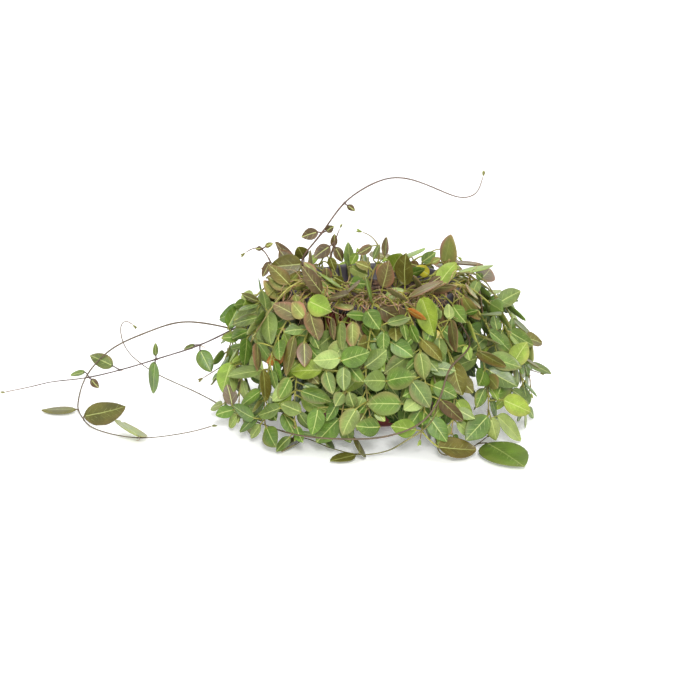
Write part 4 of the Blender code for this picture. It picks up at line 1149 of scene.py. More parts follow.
def keep(obstacles, leaf_, node_label):
    points, faces = tube([blade_ring(leaf_, share) for share in section_shares(leaf_) + (0.99,)])
    obstacles.add(points, faces, node_label)
    points, faces = twig_shape(leaf_.root, leaf_.base, 1.5 * MM)
    obstacles.add(points, faces, node_label)


def leaf_choices(leaf_, draw):
    """A seen leaf, then the same leaf moved along the line of sight or turned a little."""
    toward_eye = (EYE - leaf_.base).normalized()
    yield leaf_
    for shift in (3, -3, 6, -6, 9, -9, 12, -12, 16, -16, 20):
        yield leaf_._replace(base=leaf_.base + toward_eye * shift * MM)
    for trial in range(14):
        shift = draw.uniform(-14, 16) * MM
        axis = Vector([draw.uniform(-1, 1) for _ in range(3)]).normalized()
        spin = Matrix.Rotation(draw.uniform(-0.5, 0.5), 3, axis)
        yield leaf_._replace(
            base=leaf_.base + toward_eye * shift,
            along=spin @ leaf_.along,
            normal=spin @ leaf_.normal,
        )


def free_tone(height, draw):
    """Colour family of a leaf made by rule: warmer towards the top."""
    if height > 112 * MM:
        return draw.choice(("olive", "lime", "pink", "green", "mauve", "bronze"))
    return draw.choice(("green", "green", "grey", "green", "grey", "lime", "olive", "pale"))


def free_leaf(node, ahead, side, length, draw):
    """A leaf made by rule: it leaves the stem sideways, hangs a little and faces outward."""
    out = Vector((node.x, node.y, 0)).normalized()
    if node.z > 112 * MM:
        out = (out * 0.5 + Vector((0, 0, 1))).normalized()
    along = side * draw.uniform(0.5, 1.0) + ahead * draw.uniform(-0.1, 0.7)
    along += out * draw.uniform(-0.1, 0.45)
    along.z -= draw.uniform(0.0, 0.7)
    along.normalize()
    face = out + Vector((0, 0, draw.uniform(-0.2, 0.8)))
    face += Vector([draw.uniform(-0.5, 0.5) for _ in range(3)])
    normal = (face - along * face.dot(along)).normalized()
    petiole = draw.uniform(3, 7) * MM
    width = length * draw.uniform(0.56, 0.7)
    base = node + along * petiole
    tone = free_tone(node.z, draw)
    return Leaf(node, base, along, normal, length, width, tone, draw.uniform(0.02, 0.1))


def leaf_length(distance, whole, draw):
    """Leaves get smaller towards the growing end."""
    share = max(0.0, (whole - distance) / (60 * MM))
    return min(1.0, 0.45 + 0.55 * share) * draw.uniform(25, 36) * MM


def ring_distances(route, run, nodes):
    """Where the stem's rings go: both ends of each node and wherever the route bends."""
    marks = [0.0]
    for node in nodes:
        marks += [node - NODE_HALF, node + NODE_HALF]
    marks.append(run[-1])
    marks = sorted(set(round(mark, 5) for mark in marks))

    def bends(low, high):
        if high - low < 9 * MM:
            return []
        start, stop = point_at(route, run, low), point_at(route, run, high)
        line = (stop - start).normalized()
        worst, where = 0.0, None
        for index, distance in enumerate(run):
            if low + 3 * MM < distance < high - 3 * MM:
                offset = route[index] - start
                gap = (offset - line * offset.dot(line)).length
                if gap > worst:
                    worst, where = gap, distance
        if worst < (BEND_LIMIT if low > ROOT_STRETCH else ROOT_BEND_LIMIT):
            return []
        return bends(low, where) + [where] + bends(where, high)

    filled = []
    for low, high in zip(marks, marks[1:]):
        filled += [low] + bends(low, high)
    return filled + [marks[-1]]


def stem_radius(distance, whole):
    share = distance / whole
    return STEM_RADIUS + (STEM_TIP_RADIUS - STEM_RADIUS) * share ** 1.5


def stem_rings(route, run, marks):
    """Three-cornered rings of the stem, without twist from one to the next."""
    whole = run[-1]
    centres = [point_at(route, run, mark) for mark in marks]
    ahead = [(b - a).normalized() for a, b in zip(centres, centres[1:])]
    ahead = [ahead[0]] + [(a + b).normalized() for a, b in zip(ahead, ahead[1:])] + [ahead[-1]]
    side = ahead[0].orthogonal().normalized()
    rings = []
    for centre, forward, mark in zip(centres, ahead, marks):
        side = (side - forward * side.dot(forward)).normalized()
        other = forward.cross(side)
        radius = stem_radius(mark, whole)
        ring = []
        for index in range(3):
            turn = 2 * math.pi * index / 3
            ring.append(centre + radius * (math.cos(turn) * side + math.sin(turn) * other))
        rings.append(ring)
    return rings


def vine_nodes(route, run, seen, draw, free):
    """Distances along the stem of its nodes, and the seen leaves at each."""
    nodes = {}
    for leaf_ in seen:
        distance, _ = nearest_on(route, run, leaf_.base - leaf_.along * 3 * MM)
        distance = min(max(distance, 24 * MM), run[-1] - 3 * MM)
        options = [key for key, held in nodes.items() if abs(key - distance) < 7 * MM]
        options.sort(key=lambda key: abs(key - distance))
        home = next((key for key in options if len(nodes[key]) < 2), None)
        if home is None:
            while any(abs(key - distance) < 5 * MM for key in nodes):
                distance += 5.5 * MM
            if distance > run[-1] - 2 * MM:
                continue
            home = distance
            nodes[home] = []
        nodes[home].append(leaf_)
    if free:
        distance = free
        while distance < run[-1] - 3 * MM:
            if all(abs(key - distance) > 10 * MM for key in nodes):
                nodes[distance] = []
            distance += draw.uniform(*NODE_SPACING)
        nodes.setdefault(run[-1] - 2.6 * MM, []) if all(
            abs(key - run[-1]) > 9 * MM for key in nodes
        ) else None
    return dict(sorted(nodes.items()))


def laid_out(obstacles):
    """Every vine with its route, ring places and leaves, all clear of each other."""
    draw = random.Random(5)
    clumps = Clumps()
    names, routes = [], []
    for name, (places, _) in SEEN_VINES.items():
        names.append(name)
        routes.append(seen_route(places, clumps))
    hanging = []
    for row, count, first, arc, inset in HANGING_ROWS:
        for index in range(count):
            turn = math.radians(first + arc * index / (count - 1) + draw.uniform(-2, 2))
            end = draw.choice((4, 10, 20, 32)) * MM if row != "inner" else draw.uniform(15, 60) * MM
            name = f"vine_{row}_{index + 1:02d}"
            hanging.append(name)
            names.append(name)
            routes.append(hanging_route(turn, inset, end, clumps, draw))
    routes = spread_routes([smooth(route) for route in routes])
    runs = [lengths_along(route) for route in routes]

    seen = {name: [] for name in names}
    for name, (_, leaves) in SEEN_VINES.items():
        seen[name] = [lying_leaf(item, draw) for item in leaves]
    fronts = [i for i, name in enumerate(names) if name in hanging and "inner" not in name]
    for item in CURTAIN_LEAVES:
        leaf_ = lying_leaf(item, draw)
        gaps = {i: nearest_on(routes[i], runs[i], leaf_.base)[1] for i in fronts}
        seen[names[min(gaps, key=gaps.get)]].append(leaf_)

    for points, faces in pot_test_shapes():
        obstacles.add(points, faces, "pot")
    plans = []
    for name, route, run in zip(names, routes, runs):
        free = 0
        if name in hanging:
            free = FIRST_NODE
        nodes = vine_nodes(route, run, seen[name], draw, free)
        marks = ring_distances(route, run, nodes)
        rings = stem_rings(route, run, marks)
        obstacles.add(*tube(rings), name)
        plans.append((name, route, run, nodes, marks, rings))

    leaves = {name: {} for name in names}
    for name, route, run, nodes, marks, rings in plans:
        for distance, held in nodes.items():
            node = point_at(route, run, distance)
            label = f"{name}/{distance:.4f}"
            for leaf_ in held:
                for choice in leaf_choices(leaf_._replace(root=node), draw):
                    twig = choice.base - node
                    if twig.length < 2.5 * MM:
                        choice = choice._replace(base=node + choice.along * 3 * MM)
                    elif twig.length > LONGEST_TWIG:
                        continue
                    if fits(obstacles, choice, name, label):
                        keep(obstacles, choice, label)
                        leaves[name].setdefault(distance, []).append(choice)
                        break
    for name, route, run, nodes, marks, rings in plans:
        for distance in nodes:
            node = point_at(route, run, distance)
            if len(nodes[distance]) > 0 and (name not in hanging or len(leaves[name].get(distance, [])) > 1):
                continue
            ahead = point_at(route, run, distance + 3 * MM) - point_at(route, run, distance - 3 * MM)
            ahead.normalize()
            out = Vector((node.x, node.y, 0.0)).normalized()
            across = ahead.cross(out).normalized()
            label = f"{name}/{distance:.4f}"
            size = leaf_length(distance, run[-1], draw)
            for sign in (1, -1):
                if len(leaves[name].get(distance, [])) > 1:
                    break
                for trial in range(12):
                    spin = Matrix.Rotation(draw.uniform(-0.7, 0.7) * (1 + trial / 8), 3, ahead)
                    length = size * (1 - 0.03 * trial)
                    choice = free_leaf(node, ahead, spin @ (across * sign), length, draw)
                    if fits(obstacles, choice, name, label):
                        keep(obstacles, choice, label)
                        leaves[name].setdefault(distance, []).append(choice)
                        break
    return [
        (name, route, run, marks, rings, leaves[name])
        for name, route, run, nodes, marks, rings in plans
    ]


def linear(colour):
    """A screen colour as the light that it stands for."""
    shares = [c / 255 for c in colour]
    return [s / 12.92 if s < 0.04045 else ((s + 0.055) / 1.055) ** 2.4 for s in shares]


class Piece:
    """Collects the points, faces and surface values of one piece."""

    def __init__(self):
        self.points = []
        self.place = []
        self.edge = []
        self.tint = []
        self.faces = []
        self.slots = []
        self.count = 0

    def add(self, points, place, tint, faces, slot, edge=None):
        """Adds one closed form: its place values say where on a leaf or stem a point lies."""
        points = np.asarray(points, float)
        self.points.append(points)
        self.edge.append(np.zeros(len(points)) if edge is None else np.asarray(edge, float))
        self.place.append(np.asarray(place, float).reshape(-1, 3))
        self.tint.append(np.tile([*tint, 1.0], (len(points), 1)))
        self.faces += [tuple(self.count + i for i in face) for face in faces]
        self.slots += [slot] * len(faces)
        self.count += len(points)

    def finish(self, name, materials, slot, node=None):
        mesh = bpy.data.meshes.new(name)
        mesh.from_pydata(np.concatenate(self.points).tolist(), [], self.faces)
        mesh.attributes.new("place", "FLOAT_VECTOR", "POINT")
        mesh.attributes["place"].data.foreach_set("vector", np.concatenate(self.place).ravel())
        mesh.attributes.new("edge", "FLOAT", "POINT")
        mesh.attributes["edge"].data.foreach_set("value", np.concatenate(self.edge))
        mesh.attributes.new("tint", "FLOAT_COLOR", "POINT")
        mesh.attributes["tint"].data.foreach_set("color", np.concatenate(self.tint).ravel())
        for made in materials:
            mesh.materials.append(made)
        mesh.polygons.foreach_set("material_index", self.slots)
        mesh.polygons.foreach_set("use_smooth", [True] * len(self.faces))
        mesh.update()
        obj = bpy.data.objects.new(name, mesh)
        bpy.context.scene.collection.objects.link(obj)
        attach(obj, "root")
        if node:
            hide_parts(node)
        return obj


def ring_faces(rings, sides, closed=True):
    """Faces of a tube of rings; each closed end is one face."""
    faces = []
    for level in range(rings - 1):
        low, high = level * sides, (level + 1) * sides
        for index in range(sides):
            other = (index + 1) % sides
            faces.append((low + index, low + other, high + other, high + index))
    if closed:
        faces.append(tuple(reversed(range(sides))))
        faces.append(tuple(range((rings - 1) * sides, rings * sides)))
    return faces


def frames(centres):
    """Forward, side and up directions at each point of a path, without twist."""
    centres = np.asarray(centres, float)
    ahead = np.gradient(centres, axis=0)
    ahead /= np.maximum(np.linalg.norm(ahead, axis=1, keepdims=True), 1e-12)
    side = np.cross(ahead[0], (0, 0, 1) if abs(ahead[0][2]) < 0.9 else (1, 0, 0))
    sides = []
    for forward in ahead:
        side = side - forward * side.dot(forward)
        side = side / max(np.linalg.norm(side), 1e-12)
        sides.append(side)
    sides = np.array(sides)
    return ahead, sides, np.cross(ahead, sides)


def add_tube(piece, centres, radii, tint, slot, seed=0.0, count=STEM_SIDES):
    """A round stem: its place values are the turn, the distance along and a seed."""
    centres = np.asarray(centres, float)
    ahead, side, other = frames(centres)
    run = np.concatenate([[0], np.cumsum(np.linalg.norm(np.diff(centres, axis=0), axis=1))])
    points, place = [], []
    for index, centre in enumerate(centres):
        for step in range(count):
            turn = 2 * math.pi * step / count
            arm = math.cos(turn) * side[index] + math.sin(turn) * other[index]
            points.append(centre + radii[index] * arm)
            place.append((step / count, run[index] * 1000, seed))
    piece.add(points, place, tint, ring_faces(len(centres), count), slot)


def fine_path(route, run, step=STEM_STEP):
    """Evenly spaced points of a stem's curve, rounded at its corners."""
    count = max(4, round(run[-1] / step))
    distances = [run[-1] * index / count for index in range(count + 1)]
    points = np.array([tuple(point_at(route, run, distance)) for distance in distances])
    for _ in range(2):
        points[1:-1] = 0.5 * points[1:-1] + 0.25 * (points[:-2] + points[2:])
    return points, np.array(distances)


def add_stem(piece, route, run, knots, tint, tip_tint, draw):
    """The stem of one vine, thicker at its leaf nodes and tapering to its tip."""
    points, distances = fine_path(route, run)
    radii = np.array([STEM_THIN * stem_radius(d, run[-1]) for d in distances])
    for knot in knots:
        radii += 0.32 * MM * np.exp(-(((distances - knot) / (1.6 * MM)) ** 2))
    radii *= 1 + 0.05 * np.sin(distances / (5 * MM) + draw.uniform(0, 6))
    radii[-1] *= 0.5
    add_tube(piece, points, radii, tint, 1, draw.random())
    start = piece.count - len(points) * STEM_SIDES
    fade = np.repeat(np.clip((distances - run[-1] + 40 * MM) / (40 * MM), 0, 1), STEM_SIDES)
    colours = piece.tint[-1]
    colours[:, :3] += fade[:, None] * (np.array(tip_tint) - colours[:, :3])
    return start


def add_rootlets(piece, route, run, knots, draw, chance=0.35):
    """Short roots that a trailing stem puts out below its nodes."""
    for knot in knots:
        if draw.random() > chance:
            continue
        node = point_at(route, run, knot)
        for _ in range(draw.randint(1, 3)):
            heading = Vector([draw.uniform(-1, 1) for _ in range(3)])
            heading.z -= 0.6
            heading.normalize()
            length = draw.uniform(3, 8) * MM
            path, at = [], node.copy()
            for _ in range(6):
                path.append(tuple(at))
                heading += Vector([draw.uniform(-0.5, 0.5) for _ in range(3)])
                heading.normalize()
                at = at + heading * length / 5
                at.z = max(at.z, 0.6 * MM)
            radii = [0.26 * MM, 0.24 * MM, 0.22 * MM, 0.2 * MM, 0.16 * MM, 0.1 * MM]
            add_tube(piece, path, radii, linear(ROOT_COLOUR), 2, draw.random(), 5)


def add_twig(piece, leaf_, tint, draw):
    """The short stalk from the stem into the blade's base."""
    start, stop = Vector(leaf_.root), Vector(leaf_.base)
    inside = leaf_.base + leaf_.along * 1.6 * MM - leaf_.normal * 0.4 * MM
    bend = start.lerp(stop, 0.6) - leaf_.along * 0.12 * (stop - start).length
    path = []
    for index in range(7):
        share = index / 5
        if index == 6:
            path.append(tuple(inside))
            continue
        one, two = start.lerp(bend, share), bend.lerp(stop, share)
        path.append(tuple(one.lerp(two, share)))
    radii = np.linspace(1.15, 0.95, 7) * TWIG_RADIUS
    add_tube(piece, path, radii, tint, 1, draw.random(), 6)


def add_blade(piece, leaf_, draw):
    """One fleshy blade: a thin crowned form with a sunk rib above and a keel below."""
    steps = BLADE_STEPS if leaf_.length > 17 * MM else SMALL_BLADE_STEPS
    sides = np.array(BLADE_SIDES)
    below = sides[-2:0:-1]
    across_dir = np.array(leaf_.along.cross(leaf_.normal))
    along_dir, normal = np.array(leaf_.along), np.array(leaf_.normal)
    base = np.array(leaf_.base)
    seed = draw.random()
    cup = draw.uniform(-0.05, 0.09) * leaf_.width
    lean = draw.uniform(-0.03, 0.03)
    wave = draw.uniform(0, 6)
    thick = BLADE_THICK * min(1.0, 0.55 + leaf_.length / (70 * MM))
    points, place, edge = [], [], []
    for share in steps:
        half = 0.5 * leaf_.width * leaf_outline(max(share, 0.004))
        half *= 1 + 0.025 * math.sin(9 * share + wave)
        sag = leaf_.droop * leaf_.length * share ** 2
        bow = lean * leaf_.length * math.sin(math.pi * share)
        taper = min(1.0, 0.35 + 5 * share) * min(1.0, 0.3 + 3.2 * (1 - share))
        middle = base + along_dir * leaf_.length * share + across_dir * bow
        for level, row in enumerate((sides, below)):
            lift = cup * row ** 2 - sag
            crown = 0.22 * MM * (1 - row ** 2)
            groove = 0.2 * MM * np.exp(-((row * half / (0.45 * MM)) ** 2))
            rim = 0.16 * thick
            if level == 0:
                height = lift + taper * (crown - groove) - 0.1 * MM
            else:
                belly = (1 - np.abs(row) ** 2.4) ** 0.7
                height = lift - taper * (thick * belly + rim) - 0.1 * MM
                height -= taper * 0.25 * MM * np.exp(-((row * half / (0.7 * MM)) ** 2))
            offset = np.outer(row * half, across_dir) + np.outer(height, normal)
            points.append(middle + offset)
            face = 1.0 - level
            for side in row:
                place.append((side * half * 1000, share * leaf_.length * 1000, face + 0.9 * seed))
                edge.append(max(abs(side), share ** 3))
    tip = base + along_dir * leaf_.length + across_dir * 0
    tip = tip - normal * (leaf_.droop * leaf_.length + 0.3 * thick)
    points = np.concatenate(points + [tip[None]])
    place.append((0.0, leaf_.length * 1000, 1.0 + 0.9 * seed))
    edge.append(1.0)
    count = len(sides) + len(below)
    faces = ring_faces(len(steps), count, closed=False)
    faces.append(tuple(reversed(range(count))))
    last = (len(steps) - 1) * count
    for index in range(count):
        faces.append((last + index, last + (index + 1) % count, len(points) - 1))
    colour = np.array(linear(LEAF_COLOURS[leaf_.tone])) * draw.uniform(0.86, 1.14)
    colour = colour * np.array([draw.uniform(0.93, 1.07), 1, draw.uniform(0.9, 1.1)])
    piece.add(points, place, colour, faces, 0, edge)
    piece.tint[-1][:, 3] = BLUSH.get(leaf_.tone, draw.choice((0, 0, 0.12, 0.25)))


def node(tree, kind, **values):
    """A shader node with some of its settings or unlinked inputs."""
    made = tree.nodes.new(kind)
    for key, value in values.items():
        if hasattr(made, key):
            setattr(made, key, value)
        else:
            made.inputs[key.replace("_", " ")].default_value = value
    return made


class Shade:
    """Short ways to join shader nodes of one material."""

    def __init__(self, name, roughness, specular=0.5):
        self.made = bpy.data.materials.new(name)
        self.made.use_nodes = True
        self.tree = self.made.node_tree
        self.shader = self.tree.nodes["Principled BSDF"]
        self.shader.inputs["Roughness"].default_value = roughness
        self.shader.inputs["Specular IOR Level"].default_value = specular

    def link(self, out, into):
        self.tree.links.new(out, into)

    def value(self, name):
        """A surface value stored in the mesh."""
        return node(self.tree, "ShaderNodeAttribute", attribute_name=name)

    def parts(self, vector):
        split = node(self.tree, "ShaderNodeSeparateXYZ")
        self.link(vector, split.inputs[0])
        return split.outputs

    def math(self, what, first, second=0.0, third=0.0):
        made = node(self.tree, "ShaderNodeMath", operation=what)
        for index, given in enumerate((first, second, third)):
            if isinstance(given, (int, float)):
                made.inputs[index].default_value = given
            else:
                self.link(given, made.inputs[index])
        return made.outputs[0]

    def ramp(self, given, low, high, out_low=0.0, out_high=1.0):
        """A smooth step from one level to another."""
        made = node(self.tree, "ShaderNodeMapRange", interpolation_type="SMOOTHSTEP")
        for index, value in enumerate((low, high, out_low, out_high)):
            made.inputs[index + 1].default_value = value
        self.link(given, made.inputs[0])
        return made.outputs[0]

    def mix(self, share, first, second):
        """A colour between two."""
        made = node(self.tree, "ShaderNodeMix", data_type="RGBA")
        for index, given in ((0, share), (6, first), (7, second)):
            if isinstance(given, (int, float)):
                made.inputs[index].default_value = given
            elif isinstance(given, (list, tuple)):
                made.inputs[index].default_value = (*given[:3], 1)
            else:
                self.link(given, made.inputs[index])
        return made.outputs[2]

    def noise(self, scale, detail=3.0, vector=None):
        """Noise in the piece's own space, with its grain in cells per metre."""
        made = node(self.tree, "ShaderNodeTexNoise")
        made.inputs["Scale"].default_value = scale
        made.inputs["Detail"].default_value = detail
        if vector is None:
            vector = node(self.tree, "ShaderNodeTexCoord").outputs["Object"]
        self.link(vector, made.inputs["Vector"])
        return made.outputs[0]

    def colour(self, out):
        self.link(out, self.shader.inputs["Base Color"])

    def rough(self, out):
        self.link(out, self.shader.inputs["Roughness"])

    def bump(self, height, strength, distance):
        made = node(self.tree, "ShaderNodeBump")
        made.inputs["Strength"].default_value = strength
        made.inputs["Distance"].default_value = distance
        self.link(height, made.inputs["Height"])
        self.link(made.outputs[0], self.shader.inputs["Normal"])


def leaf_material():
    """Fleshy leaf: pale rib and faint side veins above, plain paler face below, red edge."""
    shade = Shade("leaf_flesh", 0.4, 0.4)
    place = shade.parts(shade.value("place").outputs["Vector"])
    across, along, face_and_seed = place[0], place[1], place[2]
    tint = shade.value("tint")
    above = shade.ramp(face_and_seed, 0.92, 0.98)
    off_rib = shade.math("ABSOLUTE", across)
    wander = shade.noise(260, 2)
    wander = shade.math("MULTIPLY_ADD", wander, 0.5, -0.25)
    off_rib = shade.math("ABSOLUTE", shade.math("ADD", across, wander))
    rib = shade.ramp(off_rib, 0.18, 0.55, 1.0, 0.0)
    fade = shade.ramp(along, 1.0, 32.0, 1.0, 0.5)
    rib = shade.math("MULTIPLY", rib, fade)

    phase = shade.math("MULTIPLY_ADD", off_rib, -0.95, along)
    phase = shade.math("ADD", phase, shade.math("MULTIPLY", face_and_seed, 7.0))
    phase = shade.math("ADD", phase, shade.math("MULTIPLY", wander, 2.2))
    phase = shade.math("FRACT", shade.math("DIVIDE", phase, 5.2))
    gap = shade.math("ABSOLUTE", shade.math("SUBTRACT", phase, 0.5))
    vein = shade.ramp(gap, 0.015, 0.08, 1.0, 0.0)
    vein = shade.math("MULTIPLY", vein, shade.ramp(off_rib, 2.5, 7.5, 1.0, 0.0))
    vein = shade.math("MULTIPLY", vein, shade.ramp(shade.noise(190, 2), 0.36, 0.62))

    broad = shade.noise(70, 4)
    fine = shade.noise(900, 3)
    patch = shade.ramp(broad, 0.3, 0.72, 0.74, 1.22)
    grain = shade.ramp(fine, 0.3, 0.7, 0.9, 1.1)
    value = shade.math("MULTIPLY", patch, grain)
    body = node(shade.tree, "ShaderNodeVectorMath", operation="SCALE")
    shade.link(tint.outputs["Color"], body.inputs[0])
    shade.link(value, body.inputs["Scale"])
    body = body.outputs[0]
    vein_colour = linear(VEIN_COLOUR)
    face = shade.mix(shade.math("MULTIPLY", vein, 0.34), body, vein_colour)
    face = shade.mix(shade.math("MULTIPLY", rib, 0.72), face, vein_colour)
    back = shade.mix(0.25, body, linear((128, 140, 80)))
    back = shade.mix(shade.math("MULTIPLY", rib, 0.35), back, vein_colour)
    flesh = shade.mix(above, back, face)
    edge = shade.value("edge").outputs["Fac"]
    red = shade.math("MULTIPLY", shade.ramp(edge, 0.3, 1.0), tint.outputs["Alpha"])
    red = shade.math("MULTIPLY", red, shade.ramp(across, -5.0, 4.0, 0.4, 1.0))
    red = shade.math("MULTIPLY", red, shade.ramp(broad, 0.35, 0.6, 0.5, 1.0))
    flesh = shade.mix(red, flesh, linear(BLUSH_COLOUR))
    speck = shade.ramp(shade.noise(2300, 1), 0.66, 0.74, 0.0, 0.18)
    flesh = shade.mix(speck, flesh, linear((196, 200, 150)))
    shade.colour(flesh)
    shade.rough(shade.ramp(broad, 0.3, 0.7, 0.34, 0.48))
    height = shade.math("MULTIPLY_ADD", vein, -0.5, shade.math("MULTIPLY", fine, 0.6))
    shade.bump(height, 0.35, 0.25 * MM)
    shade.shader.inputs["Subsurface Weight"].default_value = 0.06
    shade.shader.inputs["Subsurface Radius"].default_value = (0.0012, 0.0016, 0.0005)
    return shade.made


def stem_material():
    """Thin stem: its own colour, streaked along its length, with darker specks."""
    shade = Shade("stem_skin", 0.55)
    place = shade.value("place")
    tint = shade.value("tint")
    stretch = node(shade.tree, "ShaderNodeVectorMath", operation="MULTIPLY")
    stretch.inputs[1].default_value = (6.0, 0.35, 9.0)
    shade.link(place.outputs["Vector"], stretch.inputs[0])
    streak = shade.noise(1.0, 4, stretch.outputs[0])
    patch = shade.noise(140, 3)
    value = shade.math("MULTIPLY", shade.ramp(streak, 0.25, 0.75, 0.72, 1.25), 1.0)
    value = shade.math("MULTIPLY", value, shade.ramp(patch, 0.3, 0.7, 0.82, 1.15))
    skin_ = node(shade.tree, "ShaderNodeVectorMath", operation="SCALE")
    shade.link(tint.outputs["Color"], skin_.inputs[0])
    shade.link(value, skin_.inputs["Scale"])
    speck = shade.ramp(shade.noise(1500, 2), 0.58, 0.68, 0.0, 0.5)
    shade.colour(shade.mix(speck, skin_.outputs[0], linear((70, 50, 36))))
    shade.rough(shade.ramp(patch, 0.3, 0.7, 0.45, 0.65))
    shade.bump(streak, 0.5, 0.2 * MM)
    return shade.made


def root_material():
    shade = Shade("root_skin", 0.75, 0.3)
    tint = shade.value("tint")
    patch = shade.noise(420, 4)
    red = shade.noise(60, 2)
    tone = shade.mix(shade.ramp(patch, 0.3, 0.7), tint.outputs["Color"], linear((150, 116, 78)))
    shade.colour(shade.mix(shade.ramp(red, 0.5, 0.7, 0.0, 0.4), tone, linear((176, 104, 84))))
    shade.bump(patch, 0.6, 0.15 * MM)
    return shade.made


def pot_material(name, colour, roughness):
    """Thin moulded plastic: faint draw marks, dust and small scuffs."""
    shade = Shade(name, roughness)
    broad = shade.noise(22, 4)
    fine = shade.noise(700, 4)
    scuff = shade.ramp(shade.noise(160, 6), 0.6, 0.72, 0.0, 0.35)
    tone = linear(colour)
    body = shade.mix(shade.ramp(broad, 0.3, 0.7), [0.8 * c for c in tone], [1.15 * c for c in tone])
    shade.colour(shade.mix(scuff, body, [0.6 * c + 0.12 for c in tone]))
    shade.rough(shade.ramp(broad, 0.3, 0.7, roughness - 0.06, roughness + 0.1))
    shade.bump(fine, 0.25, 0.12 * MM)
    return shade.made


def bark_material():
    """Chips of bark and peat, each its own brown."""
    shade = Shade("bark_chips", 0.85, 0.3)
    tint = shade.value("tint")
    grain = shade.noise(380, 6)
    body = node(shade.tree, "ShaderNodeVectorMath", operation="SCALE")
    shade.link(tint.outputs["Color"], body.inputs[0])
    shade.link(shade.ramp(grain, 0.3, 0.7, 0.5, 1.5), body.inputs["Scale"])
    shade.colour(body.outputs[0])
    shade.rough(shade.ramp(grain, 0.3, 0.7, 0.75, 0.95))
    shade.bump(grain, 0.8, 0.5 * MM)
    return shade.made


def fine_pot_profile():
    """The pot's half section with its corners rounded."""
    corners = pot_profile()[1:-1]
    rounded = []
    for before, corner, after in zip(corners, corners[1:], corners[2:]):
        before, corner, after = (np.array(each) for each in (before, corner, after))
        reach = 0.42 * min(np.linalg.norm(before - corner), np.linalg.norm(after - corner))
        reach = min(reach, 0.9 * MM)
        start = corner + reach * (before - corner) / np.linalg.norm(before - corner)
        stop = corner + reach * (after - corner) / np.linalg.norm(after - corner)
        for share in (0.0, 0.33, 0.67, 1.0):
            one = start + (corner - start) * share
            two = corner + (stop - corner) * share
            rounded.append(tuple(one + (two - one) * share))
    return [(0, 0), corners[0]] + rounded + [corners[-1], (0, 1.8 * MM)]


def dress_pot():
    """The thin shell: brick red outside, grey over the turned rim and inside."""
    profile = fine_pot_profile()
    points, faces = turned(profile, POT_TURNS)
    mesh = bpy.data.meshes.new("pot_shell")
    mesh.from_pydata([tuple(point) for point in points], [], faces)
    mesh.materials.append(pot_material("pot_outside", POT_RED, 0.42))
    mesh.materials.append(pot_material("pot_inside", POT_GREY, 0.38))
    under_rim = POT_HEIGHT - RIM_DEPTH
    for polygon in mesh.polygons:
        middle = polygon.center
        reach = math.hypot(middle.x, middle.y)
        inside = reach < wall_radius(middle.z) - 0.5 * WALL and middle.z > 1 * MM
        if middle.z > under_rim - 0.4 * MM or inside:
            polygon.material_index = 1
        polygon.use_smooth = True
    pot = bpy.data.objects.new("pot_shell", mesh)
    bpy.context.scene.collection.objects.link(pot)
    for index in range(6):
        turn = 2 * math.pi * (index + 0.08) / 6
        bpy.ops.mesh.primitive_cylinder_add(
            vertices=24,
            radius=3.2 * MM,
            depth=7 * MM,
            location=(34 * MM * math.cos(turn), 34 * MM * math.sin(turn), -1.3 * MM),
        )
        cutter = bpy.context.active_object
        modifier = pot.modifiers.new("drain", "BOOLEAN")
        modifier.operation = "DIFFERENCE"
        modifier.solver = "EXACT"
        modifier.object = cutter
        bpy.context.view_layer.objects.active = pot
        bpy.ops.object.modifier_apply(modifier=modifier.name)
        bpy.data.objects.remove(cutter)
    pot.data.set_sharp_from_angle(angle=math.radians(50))
    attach(pot, "root")
    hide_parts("pot")


def round_form():
    """Points and faces of a plain ball, which every chip starts from."""
    form = bmesh.new()
    bmesh.ops.create_icosphere(form, subdivisions=1, radius=1.0)
    points = np.array([tuple(v.co) for v in form.verts])
    faces = [tuple(v.index for v in face.verts) for face in form.faces]
    form.free()
    return points, faces


def lump(form, draw, size):
    """Points and faces of one irregular chip."""
    points, faces = form
    jitter = np.array([draw.uniform(0.75, 1.2) for _ in points])
    scale = np.array([draw.uniform(0.7, 1.5), draw.uniform(0.5, 1.0), draw.uniform(0.25, 0.6)])
    spin = Matrix.Rotation(draw.uniform(0, 6.3), 3, "Z")
    tilt = Matrix.Rotation(draw.uniform(-0.7, 0.7), 3, "X")
    turn = np.array((spin @ tilt).to_3x3())
    return (points * jitter[:, None] * scale * size) @ turn.T, faces


